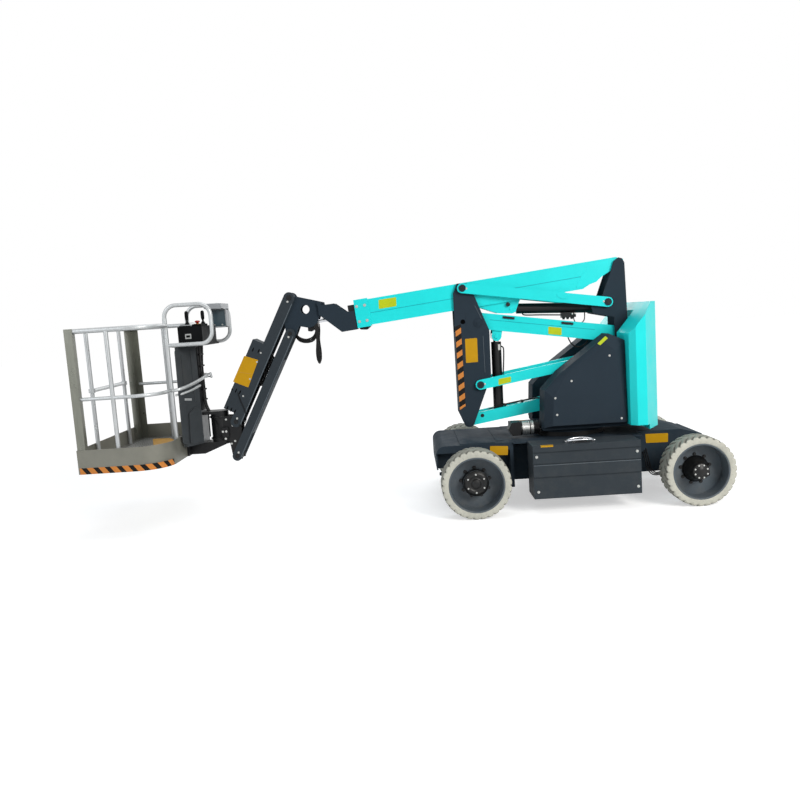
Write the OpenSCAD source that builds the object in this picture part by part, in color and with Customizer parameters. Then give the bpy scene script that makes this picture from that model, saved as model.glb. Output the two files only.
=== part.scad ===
// Articulating boom lift on four solid tyres, stowed for parking.
// X runs from the platform (-X) to the counterweight (+X), Z is up, and -Y is the machine's left side.
// Places along X are first measured from the slew axis, then moved so that the whole is centred.

/* [Wheels] */
// Distance between the front and rear axles
wheelbase = 1775; // [1700:5:1900]
// Width over the outer faces of the tyres
overall_w = 1500; // [1460:5:1600]
// Outer diameter of a tyre over its lugs
tyre_d = 560; // [540:2:580]
// Width of a tyre
tyre_w = 190; // [170:2:200]
// Diameter of the rim where the tyre sits
rim_d = 450; // [430:2:470]
// Wall of the rim
rim_t = 10; // [6:1:14]
// Depth of the wheel disc behind the tyre's outer face
disc_depth = 145; // [120:1:160]
// Diameter of the hub on the wheel disc
hub_d = 210; // [180:2:230]
// Reach of a front hub out of its disc
front_hub_h = 70; // [40:2:100]
// Reach of a rear drive hub out of its disc
rear_hub_h = 128; // [90:2:135]
// Diameter of the cap of a rear drive hub
rear_cap_d = 116; // [90:2:140]
// Diameter of the stub axle in a wheel
stub_d = 80; // [60:2:100]

/* [Chassis] */
// Height of the chassis deck
deck_z = 550; // [530:2:560]
// Underside of the main frame
frame_z = 200; // [180:2:240]
// Height of the main frame
frame_h = 300; // [260:2:320]
// Width of the main frame
frame_w = 560; // [500:5:620]
// Reach of the frame past each axle
frame_end = 190; // [150:2:220]
// Thickness of the deck plates
deck_t = 12; // [8:1:20]
// Width of the chassis deck
deck_w = 880; // [800:5:900]
// Reach of the front hood ahead of the front axle
hood_front = 298; // [290:2:345]
// Reach of the front hood behind the front axle
hood_back = 345; // [330:2:380]
// Width of the front hood
hood_w = 840; // [780:5:860]
// Width of the hood's front between the steered wheels
hood_front_w = 770; // [660:5:780]
// Depth of the hood's side wall over a wheel arch
hood_lip = 62; // [40:2:70]
// Width of the hood's body between the wheel arches
hood_body_w = 640; // [600:5:660]
// Lower edge of the hood's front
hood_z = 345; // [330:2:370]
// Lower edge of the hood's skirt behind the wheels
skirt_z = 170; // [150:2:220]
// Length of the skirt along the machine
skirt_l = 28; // [16:2:32]
// Radius of the hood's front edge
hood_r = 74; // [30:2:90]
// Length of a battery box
box_l = 856; // [780:2:880]
// Height of a battery box
box_h = 430; // [380:2:450]
// Underside of a battery box
box_z = 127; // [110:1:170]
// Distance from a tyre's outer face to a battery box's face
box_inset = 50; // [30:1:80]
// Depth of the bend grooves in a battery box
groove_d = 6; // [3:1:12]
// Height of a bend groove
groove_h = 10; // [6:1:24]
// Radius of a tie-down hole
lug_hole_r = 20; // [14:1:24]
// Outer radius of a tie-down lug
lug_r = 42; // [36:1:50]
// Thickness of a tie-down lug
lug_t = 20; // [14:1:26]

/* [Axles] */
// Distance from the tyre's inner face to the king pin
king_inset = 80; // [60:2:100]
// Radius of a king pin
king_r = 22; // [18:1:28]
// Radius of a steering knuckle's barrel
knuckle_r = 44; // [40:1:56]
// Height of a steering knuckle's barrel
knuckle_h = 120; // [100:2:140]
// Thickness of an axle's fork plates
fork_t = 24; // [18:1:30]
// Width of the front axle's square beam
axle_w = 90; // [80:2:110]
// Radius of the rear axle's housing
drive_r = 78; // [60:2:90]
// Length of a drive motor
drive_l = 170; // [140:2:200]

/* [Turntable] */
// Outer diameter of the slew ring
ring_d = 620; // [560:5:660]
// Height of each half of the slew ring
ring_h = 36; // [28:1:40]
// Running gap in the slew ring
ring_gap = 0.5; // [0.3:0.1:1]
// Thickness of the turntable's base plate
table_t = 25; // [16:1:30]
// Width over the turntable's covers
table_w = 900; // [840:5:940]
// Distance from the slew axis to the covers' front edge
cover_front = 275; // [240:2:300]
// Distance from the slew axis to the covers' rear edge
cover_back = 412; // [390:2:420]
// Height of the covers' front edge above the base plate
cover_front_h = 310; // [270:2:340]
// Height of the covers' rear edge above the base plate
cover_back_h = 690; // [620:2:720]
// Distance from the slew axis to the counterweight's rear face
tail_r = 690; // [660:2:700]
// Width over the counterweight
tail_w = 1100; // [1000:5:1120]
// Width of the counterweight's flat rear face
tail_flat_w = 660; // [560:5:700]
// Height of the counterweight's top
tail_top_z = 1640; // [1560:5:1680]
// Height of the counterweight's underside
tail_low_z = 606; // [600:1:640]
// Distance between the outsides of the tower's two plates
tower_w = 344; // [336:2:352]
// Thickness of a tower plate
tower_t = 20; // [16:1:24]

/* [Riser] */
// Length between the pins of a riser arm
riser_l = 1247; // [1200:1:1280]
// Slope of the stowed riser arms
riser_a = 9; // [7:0.5:11]
// Distance from the slew axis back to the lower arm's rear pin
low_pin_x = 362; // [340:1:380]
// Height of the lower arm's rear pin
low_pin_z = 890; // [870:1:910]
// Lower link's pin behind the lower arm's pin
low_link_dx = 111; // [90:1:130]
// Lower link's pin above the lower arm's pin
low_link_dz = 322; // [300:1:340]
// Upper arm's front pin behind the lower arm's front pin
upright_dx = 115; // [90:1:130]
// Upper arm's front pin above the lower arm's front pin
upright_dz = 854; // [830:1:880]
// Upper link's pin ahead of the upper arm's pin
up_link_dx = 119; // [100:1:130]
// Upper link's pin above the upper arm's pin
up_link_dz = 303; // [290:1:315]
// Depth of the lower arm's box
low_arm_h = 100; // [90:2:110]
// Depth of the upper arm's box
up_arm_h = 140; // [120:2:150]
// Width of both arms' boxes
arm_w = 160; // [150:2:170]
// Depth of a link bar
link_h = 84; // [70:2:90]
// Thickness of a link bar
link_t = 26; // [18:1:28]
// Distance between the insides of the upright's and the mast's plates
cheek_in = 192; // [190:2:200]
// Thickness of an upright or mast plate
cheek_t = 14; // [10:1:16]
// Radius of the riser pins
pin_r = 24; // [18:1:28]
// Distance of the riser cylinder's foot from the lower arm's front pin
riser_foot_s = 276; // [260:2:290]
// Distance of the riser cylinder's head from the upper arm's front pin
riser_head_s = 181; // [170:1:195]
// Distance of the riser cylinder's head below the upper arm's pin line
riser_head_drop = 98; // [94:1:110]

/* [Boom] */
// Height of the boom's pin above the upper arm's rear pin
boom_pin_dz = 616; // [590:1:630]
// Slope of the stowed boom
boom_a = 5.8; // [4:0.2:7]
// Length of the outer boom from its pin
boom_l = 2290; // [2200:5:2350]
// Height of the outer boom
boom_h = 222; // [200:2:230]
// Width of the outer boom
boom_w = 170; // [160:2:176]
// Top of the outer boom above its pin
boom_top = 64; // [50:1:80]
// Wall of the outer boom
boom_t = 7; // [5:1:9]
// Height of the inner boom
tube_h = 168; // [150:2:180]
// Width of the inner boom
tube_w = 146; // [120:2:148]
// Wall of the inner boom
tube_t = 7; // [5:1:9]
// Free length in the outer boom behind the stowed inner one
tube_stop = 218; // [120:2:400]
// Length of the collar at the outer boom's mouth
collar_l = 118; // [90:2:140]
// How far the collar stands out from the outer boom
collar_t = 10; // [6:1:14]
// Distance of the knuckle pin ahead of the outer boom's mouth
nose_l = 297; // [280:1:310]
// Height of the knuckle pin above the boom's pin line
nose_h = 93; // [80:1:105]
// Thickness of a gooseneck plate
nose_t = 16; // [12:1:20]
// Distance of the lift cylinder's head along the boom from its pin
lift_head_s = 956; // [920:2:980]
// Distance of the lift cylinder's head below the boom's pin line
lift_head_drop = 222; // [218:1:230]
// Distance of the lift cylinder's foot ahead of the upper arm's rear pin
lift_foot_dx = 200; // [180:2:220]
// Height of the lift cylinder's foot above the upper arm's rear pin
lift_foot_dz = 262; // [245:1:280]

/* [Cylinders] */
// Outer diameter of a lift cylinder's barrel
barrel_d = 88; // [70:2:90]
// Diameter of a lift cylinder's rod
rod_d = 50; // [36:2:56]
// Radius of the eyes at a cylinder's ends
eye_r = 42; // [36:1:44]
// Radius of a cylinder's pins
eye_pin_r = 20; // [14:1:24]
// Diameter of the levelling rod
level_d = 32; // [24:2:40]

/* [Jib] */
// Length between the pins of the jib
jib_l = 1183; // [1100:1:1250]
// Slope of the stowed jib
jib_a = 62.1; // [58:0.1:66]
// Jib arm's upper pin ahead of the knuckle pin
knuckle_dx = 254; // [240:1:270]
// Jib arm's upper pin above the knuckle pin
knuckle_dz = 67; // [50:1:80]
// Jib link's pins ahead of the jib arm's pins
jib_dx = 16; // [0:1:30]
// Jib link's pins below the jib arm's pins
jib_dz = 306; // [280:1:320]
// Width of the knuckle and of the platform carrier
knuckle_w = 134; // [120:2:138]
// Thickness of the jib's side plates
jib_t = 16; // [12:1:20]
// Depth of the jib arm
jib_arm_h = 96; // [80:2:100]
// Depth of the jib link
jib_link_h = 84; // [70:2:90]
// Depth of the cover on the jib arm
jib_cover_h = 98; // [70:2:110]
// Start of the jib cover along the arm
jib_cover_s = 455; // [400:5:465]
// Length of the jib cover
jib_cover_l = 660; // [600:5:700]
// Radius of the jib's pins
jib_pin_r = 20; // [16:1:24]
// Radius of the round window in the knuckle
window_r = 39; // [30:1:44]

/* [Platform] */
// Distance from the carrier's upper pin to the platform's swivel axis
carrier_l = 160; // [150:1:200]
// Distance from the swivel axis to the platform's rear edge
platform_gap = 272; // [240:2:300]
// Length of the platform along the machine
platform_l = 712; // [650:2:800]
// Width of the platform
platform_w = 1400; // [1300:5:1480]
// Carrier's upper pin above the platform's underside
platform_drop = 267; // [255:1:285]
// Height of the toe boards
toe_h = 196; // [150:2:200]
// Wall of the toe boards
toe_t = 6; // [4:1:10]
// Thickness of the platform's floor
floor_t = 18; // [12:1:30]
// Radius of the platform's rear corners
corner_r = 250; // [200:5:280]
// Height of the top rail above the platform's underside
rail_h = 1161; // [1100:2:1200]
// Height of the middle rail above the platform's underside
mid_h = 600; // [550:2:660]
// Diameter of the top rail
rail_d = 40; // [40:1:46]
// Diameter of the posts and the guard loops
post_d = 34; // [32:1:35]
// Diameter of the middle rail
mid_d = 30; // [24:1:31]
// Diameter of the guard loops' legs
leg_d = 37; // [36:1:39]
// Leg of the front corner posts along the machine
corner_leg_x = 66; // [50:1:90]
// Leg of the front corner posts across the machine
corner_leg_y = 180; // [120:2:200]
// Thickness of the front corner posts
corner_t = 5; // [3:1:8]
// Distance between the two gate posts
gate_w = 690; // [600:5:740]
// Height of the gate bar above the platform's underside
gate_h = 640; // [600:2:700]
// Distance between the two guard loops
loop_gap = 620; // [560:5:700]
// Reach of the guard loops behind the platform
loop_l = 376; // [340:2:400]
// Height of the guard loops
loop_h = 370; // [320:2:400]
// Underside of the guard loops above the platform's underside
loop_z = 955; // [920:2:980]
// Corner radius of the guard loops
loop_r = 100; // [70:2:120]

/* [Hidden] */

$fn = 48;
over = 1;
seat = 0.3;
run_gap = 6;

// Paints of the machine
teal = "#2cc9d2";
slate = "#333b45";
black = "#1a1b1d";
cream = "#d9d6c8";
grey = "#8d9296";
alloy = "#b9bcbc";
steel = "#c9cccf";

// Axle places
axle_x = wheelbase / 2;
axle_z = tyre_d / 2;
tyre_y = overall_w / 2 - tyre_w / 2;
king_y = overall_w / 2 - tyre_w - king_inset;

// Slew ring and base plate heights
ring_top = deck_z + ring_h + ring_gap + ring_h;
table_z = ring_top + table_t;

// Riser pins, as [along, up] places
arm_dx = riser_l * cos(riser_a);
arm_dz = riser_l * sin(riser_a);
link_off_low = [low_link_dx, low_link_dz];
link_off_up = [-up_link_dx, up_link_dz];
low_rear = [low_pin_x, low_pin_z];
low_front = low_rear - [arm_dx, arm_dz];
up_front = low_front + [upright_dx, upright_dz];
up_rear = up_front + [arm_dx, -arm_dz];
boom_pin = up_rear + [0, boom_pin_dz];

// Places on the boom, [along, up] from its pin before it slopes
function on_boom(p) = boom_pin
    + [p[0] * cos(boom_a) - p[1] * sin(boom_a), p[0] * sin(boom_a) + p[1] * cos(boom_a)];
tube_mid = boom_top - boom_h / 2;
nose_pin = [-boom_l - nose_l, nose_h];
knuckle_pin = on_boom(nose_pin);

// Jib pins
jib_top = knuckle_pin + [-knuckle_dx, knuckle_dz];
jib_off = [-jib_dx, -jib_dz];
jib_low = jib_top - jib_l * [cos(jib_a), sin(jib_a)];

// Platform places
swivel_x = jib_low[0] - carrier_l;
platform_rear = swivel_x - platform_gap;
platform_front = platform_rear - platform_l;
platform_z = jib_low[1] - platform_drop;

// The whole is centred between the platform's front and the rear tyres
origin_x = -(platform_front + axle_x + axle_z) / 2;

// Layers across the machine
cheek_out = cheek_in / 2 + cheek_t;
link_in = cheek_out + run_gap;
link_out = link_in + link_t;
tower_in = tower_w / 2 - tower_t;
nose_in = tube_w / 2;
nose_out = nose_in + nose_t;

// Cylinder places
riser_foot = low_front + riser_foot_s * [cos(riser_a), sin(riser_a)];
riser_head = up_front + riser_head_s * [cos(riser_a), -sin(riser_a)]
    - riser_head_drop * [sin(riser_a), cos(riser_a)];
lift_foot = up_rear + [-lift_foot_dx, lift_foot_dz];
lift_head = on_boom([-lift_head_s, -lift_head_drop]);
head_gap = 8;
fork_in = barrel_d / 2 + run_gap;
fork_lug = 16;

// General shapes
module machine() {
    translate([origin_x, 0, 0])
        children();
}

module at(p) {
    translate([p[0], 0, p[1]])
        children();
}

module sloped(p, a) {
    at(p)
        rotate([0, a, 0])
            children();
}

module both_sides() {
    for (side = [-1, 1])
        scale_y(side)
            children();
}

module scale_y(side) {
    if (side > 0)
        children();
    else
        mirror([0, 1, 0])
            children();
}

// Round bar across the machine
module cross_bar(r, w) {
    rotate([90, 0, 0])
        cylinder(r = r, h = w, center = true);
}

// Upright plate seen from the side, from y0 outwards by its thickness
module side_plate(y0, t) {
    translate([0, y0 + t, 0])
        rotate([90, 0, 0])
            linear_extrude(height = t)
                children();
}

// Box between two corners
module span(low, high) {
    translate(low)
        cube(high - low);
}

// Bar outline with round ends, from the origin towards -X
module bar_shape(l, h) {
    translate([-l, -h / 2])
        square([l, h]);
    for (x = [-l, 0])
        translate([x, 0])
            circle(r = h / 2);
}

// Round tubes along the three axes
module rod_x(x0, x1, d) {
    translate([x0, 0, 0])
        rotate([0, 90, 0])
            cylinder(d = d, h = x1 - x0);
}

module rod_z(z0, z1, d) {
    translate([0, 0, z0])
        cylinder(d = d, h = z1 - z0);
}

module rod_y(y0, y1, d) {
    translate([0, y0, 0])
        rotate([-90, 0, 0])
            cylinder(d = d, h = y1 - y0);
}

// Wheels
module wheel_place(front, side) {
    translate([front * axle_x, side * tyre_y, axle_z])
        rotate([side * -90, 0, 0])
            children();
}

tyre_crown = 18;
tyre_bead = 8;

module tyre_shape() {
    r = tyre_d / 2;
    w = tyre_w / 2;
    polygon([
        [rim_d / 2 + seat, -w + tyre_bead], [rim_d / 2 + tyre_bead, -w], [r - tyre_crown, -w],
        [r, -w + tyre_crown], [r, w - tyre_crown], [r - tyre_crown, w],
        [rim_d / 2 + tyre_bead, w], [rim_d / 2 + seat, w - tyre_bead]
    ]);
}

module tyre(front, side) {
    color(cream)
        machine()
            wheel_place(front, side)
                rotate_extrude($fn = 96)
                    tyre_shape();
}

rim_lip = 6;
disc_t = 14;

module rim(front, side, hub_h, cap_d) {
    w = tyre_w / 2;
    disc_z = w - disc_depth;
    color(grey)
        machine()
            wheel_place(front, side)
                difference() {
                    union() {
                        rotate_extrude($fn = 96)
                            polygon([
                                [rim_d / 2 - rim_t, -w + rim_lip], [rim_d / 2, -w + rim_lip],
                                [rim_d / 2, w - rim_lip], [rim_d / 2 - rim_t, w - rim_lip]
                            ]);
                        translate([0, 0, disc_z - disc_t])
                            cylinder(d = rim_d - rim_t, h = disc_t);
                        translate([0, 0, disc_z - over])
                            cylinder(d1 = hub_d, d2 = cap_d, h = hub_h + over);
                    }
                    translate([0, 0, -w])
                        cylinder(d = stub_d + 2 * seat, h = w + disc_z + disc_t);
                }
}

// Chassis
carrier_shares = [-0.36, 0, 0.36];
carrier_w = 80;

module chassis_frame() {
    frame_top = frame_z + frame_h;
    x_end = axle_x + frame_end;
    color(slate)
        machine()
            difference() {
                union() {
                    span([-x_end, -frame_w / 2, frame_z], [x_end, frame_w / 2, frame_top]);
                    span([-axle_x + hood_back + seat, -deck_w / 2, deck_z - deck_t],
                         [axle_x - frame_end - hood_back / 2, deck_w / 2, deck_z]);
                    span([-ring_d / 2, -frame_w / 2, frame_top - over],
                         [ring_d / 2, frame_w / 2, deck_z - deck_t + over]);
                    for (x = carrier_shares)
                        translate([x * box_l, 0, 0])
                            span([-carrier_w / 2, -deck_w / 2, box_z + carrier_w],
                                 [carrier_w / 2, deck_w / 2, deck_z - deck_t + over]);
                }
                axle_slot(-axle_x, axle_w / 2 + seat);
                axle_slot(axle_x, drive_r + seat);
            }
}

// Slot in the frame, open below, where an axle sits
module axle_slot(x, half) {
    span([x - half, -frame_w, frame_z - over], [x + half, frame_w, axle_z + half]);
}

lug_y_share = 0.4;
lug_rise_share = 0.25;

module tie_down_lugs() {
    lug_x = axle_x + frame_end;
    lug_z = frame_z + frame_h * lug_rise_share;
    color(slate)
        machine()
            for (x = [-1, 1], y = [-1, 1])
                translate([x * lug_x, y * frame_w * lug_y_share, lug_z])
                    difference() {
                        union() {
                            translate([x * lug_r, 0, 0])
                                cylinder(r = lug_r, h = lug_t, center = true);
                            translate([x * lug_r / 2, 0, 0])
                                cube([lug_r, 2 * lug_r, lug_t], center = true);
                        }
                        translate([x * lug_r, 0, 0])
                            cylinder(r = lug_hole_r, h = lug_t + over, center = true);
                    }
}

module hood_side(x0, x1, z0) {
    intersection() {
        translate([x0, z0])
            square([x1 - x0, deck_z - z0]);
        union() {
            translate([x0 + hood_r, hood_z])
                square([x1 - x0 - hood_r, deck_z - hood_z]);
            translate([x0, hood_z])
                square([x1 - x0, deck_z - hood_r - hood_z]);
            translate([x0 + hood_r, deck_z - hood_r])
                circle(r = hood_r);
        }
    }
}

module front_hood() {
    x0 = -axle_x - hood_front;
    x1 = -axle_x + hood_back;
    frame_top = frame_z + frame_h;
    color(slate)
        machine()
            difference() {
                union() {
                    side_plate(-hood_w / 2, hood_w)
                        hood_side(x0, x1, deck_z - hood_lip);
                    side_plate(-hood_body_w / 2, hood_body_w)
                        hood_side(x0, x1, hood_z);
                    side_plate(-hood_front_w / 2, hood_front_w)
                        hood_side(x0, x0 + deck_t, hood_z);
                    span([x1 - skirt_l, -hood_w / 2, skirt_z], [x1, hood_w / 2, deck_z - deck_t]);
                }
                span([-axle_x - frame_end - lug_r * 2, -frame_w / 2 - seat, skirt_z - over],
                     [x1 + over, frame_w / 2 + seat, frame_top + seat]);
                span([-axle_x - axle_w - run_gap, -hood_w, skirt_z],
                     [-axle_x + axle_w + run_gap, hood_w, axle_z + axle_w]);
            }
}

module rear_deck() {
    x0 = axle_x - frame_end - hood_back / 2 + seat;
    x1 = axle_x + frame_end * 0.75;
    frame_top = frame_z + frame_h;
    color(slate)
        machine()
            side_plate(-frame_w / 2, frame_w)
                polygon([
                    [x0, frame_top + seat], [x1, frame_top + seat], [x1, frame_top + deck_t],
                    [axle_x + deck_t, deck_z], [x0, deck_z]
                ]);
}

groove_shares = [0.14, 0.36, 0.61];

module battery_box(side) {
    y1 = overall_w / 2 - box_inset;
    color(slate)
        machine()
            scale_y(side)
                difference() {
                    span([-box_l / 2, deck_w / 2 + seat, box_z], [box_l / 2, y1, box_z + box_h]);
                    for (s = groove_shares)
                        span([-box_l / 2 - over, y1 - groove_d, box_z + box_h * (1 - s)],
                             [box_l / 2 + over, y1 + over, box_z + box_h * (1 - s) + groove_h]);
                }
}

// Axles
module front_axle() {
    end_y = king_y - knuckle_r;
    fork_z = knuckle_h / 2 + seat;
    color(black)
        machine()
            translate([-axle_x, 0, axle_z]) {
                cube([axle_w, 2 * end_y - 2 * run_gap, axle_w], center = true);
                both_sides()
                    translate([0, king_y, 0]) {
                        for (s = [-1, 1])
                            translate([0, 0, s * (fork_z + fork_t / 2)]) {
                                cylinder(r = knuckle_r, h = fork_t, center = true);
                                translate([-knuckle_r, -knuckle_r - fork_t - run_gap, -fork_t / 2])
                                    cube([2 * knuckle_r, knuckle_r + fork_t + run_gap, fork_t]);
                            }
                        translate([-knuckle_r, -knuckle_r - fork_t - run_gap, -fork_z])
                            cube([2 * knuckle_r, fork_t, 2 * fork_z]);
                        cylinder(r = king_r, h = 2 * fork_z + fork_t, center = true);
                    }
            }
}

module knuckle(side) {
    stub_end = overall_w / 2 - disc_depth - disc_t - king_y;
    color(black)
        machine()
            translate([-axle_x, side * king_y, axle_z])
                scale_y(side)
                    difference() {
                        union() {
                            cylinder(r = knuckle_r, h = knuckle_h, center = true);
                            rod_y(0, stub_end + disc_t - seat, stub_d);
                            rod_y(0, stub_end - run_gap, 2 * knuckle_r);
                        }
                        cylinder(r = king_r + seat, h = knuckle_h + over, center = true);
                    }
}

module rear_axle() {
    face_y = overall_w / 2 - disc_depth - disc_t;
    color(black)
        machine()
            translate([axle_x, 0, axle_z]) {
                both_sides() {
                    rod_y(0, face_y - run_gap, 2 * drive_r);
                    rod_y(face_y - run_gap - over, face_y + disc_t - seat, stub_d);
                    translate([0, face_y - drive_l - run_gap, 0])
                        rod_y(0, drive_l, axle_w * 2);
                }
            }
}

// Turntable
module slew_ring() {
    color(black)
        machine()
            translate([0, 0, deck_z])
                difference() {
                    cylinder(d = ring_d, h = ring_h, $fn = 96);
                    translate([0, 0, -over])
                        cylinder(d = ring_d * ring_bore_share, h = ring_h + 2 * over);
                }
}

ring_bore_share = 0.6;
table_nose_share = 0.82;

module turntable_frame() {
    pin_h = low_pin_z + low_link_dz - table_z;
    back = low_pin_x + low_link_dx + link_h;
    color(slate)
        machine() {
            translate([0, 0, deck_z + ring_h + ring_gap])
                cylinder(d = ring_d, h = ring_h, $fn = 96);
            span([-cover_front, -table_w / 2 * table_nose_share, ring_top - over],
                 [back, table_w / 2 * table_nose_share, table_z]);
            both_sides() {
                side_plate(tower_in, tower_t)
                    polygon([
                        [low_pin_x - pin_h, table_z - over], [back, table_z - over],
                        [back, low_pin_z + low_link_dz],
                        [low_pin_x + low_link_dx, low_pin_z + low_link_dz + link_h * 0.6],
                        [low_pin_x - link_h, low_pin_z + link_h]
                    ]);
                translate([low_pin_x + low_link_dx, 0, low_pin_z + low_link_dz])
                    rod_y(link_in - run_gap + over, tower_in + over, 2 * pin_r);
            }
            at(low_rear)
                cross_bar(pin_r, 2 * tower_in + over);
        }
}

drive_x_share = 0.78;
drive_block_shares = [[-1.95, 0], [-1.6, 0.66], [-0.8, 0.66], [-0.8, -0.62], [-1.6, -0.62]];
drive_ring_shares = [-0.72, 0.08, 0.86];

module slew_drive() {
    x = -ring_d / 2 - axle_w * drive_x_share;
    color(black)
        machine()
            translate([x, -table_w / 4, 0]) {
                translate([0, 0, ring_top + table_t * 0.4]) {
                    rod_x(-axle_w * 0.84, axle_w, axle_w * 1.24);
                    for (k = drive_ring_shares)
                        rod_x(axle_w * k, axle_w * (k + 0.1), axle_w * 1.34);
                    side_plate(-axle_w * 0.62, axle_w * 1.24)
                        polygon([for (p = drive_block_shares) p * axle_w]);
                }
                span([0, -axle_w / 2, ring_top - table_t],
                     [ring_d / 2 - cover_front + axle_w * drive_x_share, axle_w / 2, ring_top - over]);
            }
}

cover_bevel = 50;
cover_bevel_shares = [[1.3, 0.42], [-0.24, 0.42], [-1.84, -1.5], [-0.82, -1.56], [0.9, 0], [1.28, -1.1]];

module cover_outline(bevel) {
    z0 = table_z + seat;
    corners = [
        [-cover_front, z0], [cover_back, z0], [cover_back, z0 + cover_back_h],
        [cover_back - table_w * 0.14, z0 + cover_back_h + table_t * 2.4],
        [-cover_front + table_w * 0.17, z0 + cover_front_h * 1.46],
        [-cover_front + table_w * 0.018, z0 + cover_front_h]
    ];
    polygon([for (k = [0:5]) corners[k] + bevel * cover_bevel_shares[k]]);
}

module cover(side) {
    y0 = tower_w / 2 + run_gap;
    color(slate)
        machine()
            scale_y(side)
                hull() {
                    side_plate(y0, table_w / 2 - y0 - cover_bevel)
                        cover_outline(0);
                    side_plate(y0, table_w / 2 - y0)
                        cover_outline(cover_bevel);
                }
}

tail_slope_share = 0.74;
tail_side_share = 0.45;
tail_nose_share = 0.16;

module counterweight() {
    x0 = cover_back + seat;
    deep = tail_r - x0;
    nose = deep * tail_nose_share;
    slot = tower_w / 2 + run_gap;
    back = low_pin_x + low_link_dx + link_h + run_gap;
    slope_z = table_z + cover_back_h * (1 + tail_nose_share / 2);
    color(teal)
        machine()
            difference() {
                translate([0, 0, tail_low_z])
                    linear_extrude(height = tail_top_z - tail_low_z)
                        polygon([
                            [x0, -tail_w / 2 + nose], [x0 + nose, -tail_w / 2],
                            [x0 + deep * tail_side_share, -tail_w / 2], [tail_r, -tail_flat_w / 2],
                            [tail_r, tail_flat_w / 2], [x0 + deep * tail_side_share, tail_w / 2],
                            [x0 + nose, tail_w / 2], [x0, tail_w / 2 - nose]
                        ]);
                span([x0 - over, -slot, tail_low_z - over], [back, slot, tail_top_z + over]);
                span([x0 - over, -tail_w, tail_low_z - over], [back, tail_w, table_z + seat]);
                side_plate(-tail_w, 2 * tail_w)
                    polygon([
                        [x0 - over, slope_z], [x0 + deep * tail_slope_share, tail_top_z],
                        [x0 + deep * tail_slope_share, tail_top_z + over], [x0 - over, tail_top_z + over]
                    ]);
            }
}

// Riser
low_arm_rise_share = 0.6;
up_arm_rise_share = 0.64;
fork_l_share = 0.36;

module lower_arm() {
    rise = low_arm_h * (low_arm_rise_share - 0.5);
    color(teal)
        machine()
            sloped(low_rear, -riser_a)
                difference() {
                    union() {
                        translate([-riser_l, -arm_w / 2, rise - low_arm_h / 2])
                            cube([riser_l, arm_w, low_arm_h]);
                        for (x = [-riser_l, 0])
                            translate([x, 0, 0])
                                cross_bar(low_arm_h * 0.4, arm_w);
                        translate([-riser_l + riser_foot_s, 0, 0])
                            cross_bar(eye_pin_r, 2 * fork_in + over);
                    }
                    cross_bar(pin_r + seat, arm_w + over);
                    translate([-riser_l, 0, 0])
                        cross_bar(pin_r + seat, arm_w + over);
                    difference() {
                        span([-riser_l - low_arm_h, -fork_in, -low_arm_h],
                             [-riser_l * (1 - fork_l_share), fork_in, low_arm_h]);
                        translate([-riser_l + riser_foot_s, 0, 0])
                            cross_bar(eye_pin_r, arm_w);
                    }
                }
}

module link_pair(p, a, r) {
    sloped(p, a)
        both_sides()
            difference() {
                side_plate(link_in, link_t)
                    bar_shape(riser_l, link_h);
                for (x = [-riser_l, 0])
                    translate([x, 0, 0])
                        cross_bar(r + seat, 4 * link_out);
            }
}

module lower_links() {
    color(teal)
        machine()
            link_pair(low_rear + link_off_low, -riser_a, pin_r);
}

module upper_links() {
    color(teal)
        machine()
            link_pair(up_rear + link_off_up, riser_a, pin_r);
}

// Stub pin on the outside of a plate, with its cap
module stub_pins(p) {
    at(p)
        both_sides() {
            rod_y(cheek_out - over, link_out + seat, 2 * pin_r);
            rod_y(link_out + seat, link_out + run_gap, 2.6 * pin_r);
        }
}

upright_front = 82;
upright_lip = 70;
web_t = 12;
upright_foot = 34;
upright_head = 42;

module front_upright() {
    front = low_front[0] - upright_front;
    color(slate)
        machine() {
            both_sides()
                side_plate(cheek_in / 2, cheek_t)
                    upright_outline(front);
            span([front, -cheek_in / 2 - over, low_front[1] + low_arm_h],
                 [front + web_t, cheek_in / 2 + over, up_front[1] - up_arm_h / 2]);
            for (p = [low_front, up_front])
                at(p)
                    cross_bar(pin_r, cheek_in + over);
            for (p = [low_front, up_front])
                at(p)
                    both_sides()
                        rod_y(cheek_out - over, cheek_out + run_gap / 2, 3 * pin_r);
            stub_pins(low_front + link_off_low);
            stub_pins(up_front + link_off_up);
        }
}

module upright_outline(front) {
    top = up_front + link_off_up;
    translate(low_front)
        circle(r = upright_foot * 1.36, $fn = 64);
    polygon([
        [front, low_front[1] + low_arm_h * 0.8],
        [low_front[0] - upright_foot * 1.1, low_front[1] - upright_foot * 0.8],
        [low_front[0] + upright_foot * 1.3, low_front[1] - upright_foot * 0.4],
        [low_front[0] + low_link_dx + upright_lip * 1.4, low_front[1] + low_link_dz + upright_lip],
        [up_front[0] + upright_lip * 1.4, up_front[1] - upright_lip],
        [up_front[0] - upright_head * 0.4, top[1] - upright_lip],
        [top[0] + upright_head, top[1] + upright_head], [top[0] - upright_head, top[1] + upright_head],
        [front, top[1] - upright_head]
    ]);
}

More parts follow.
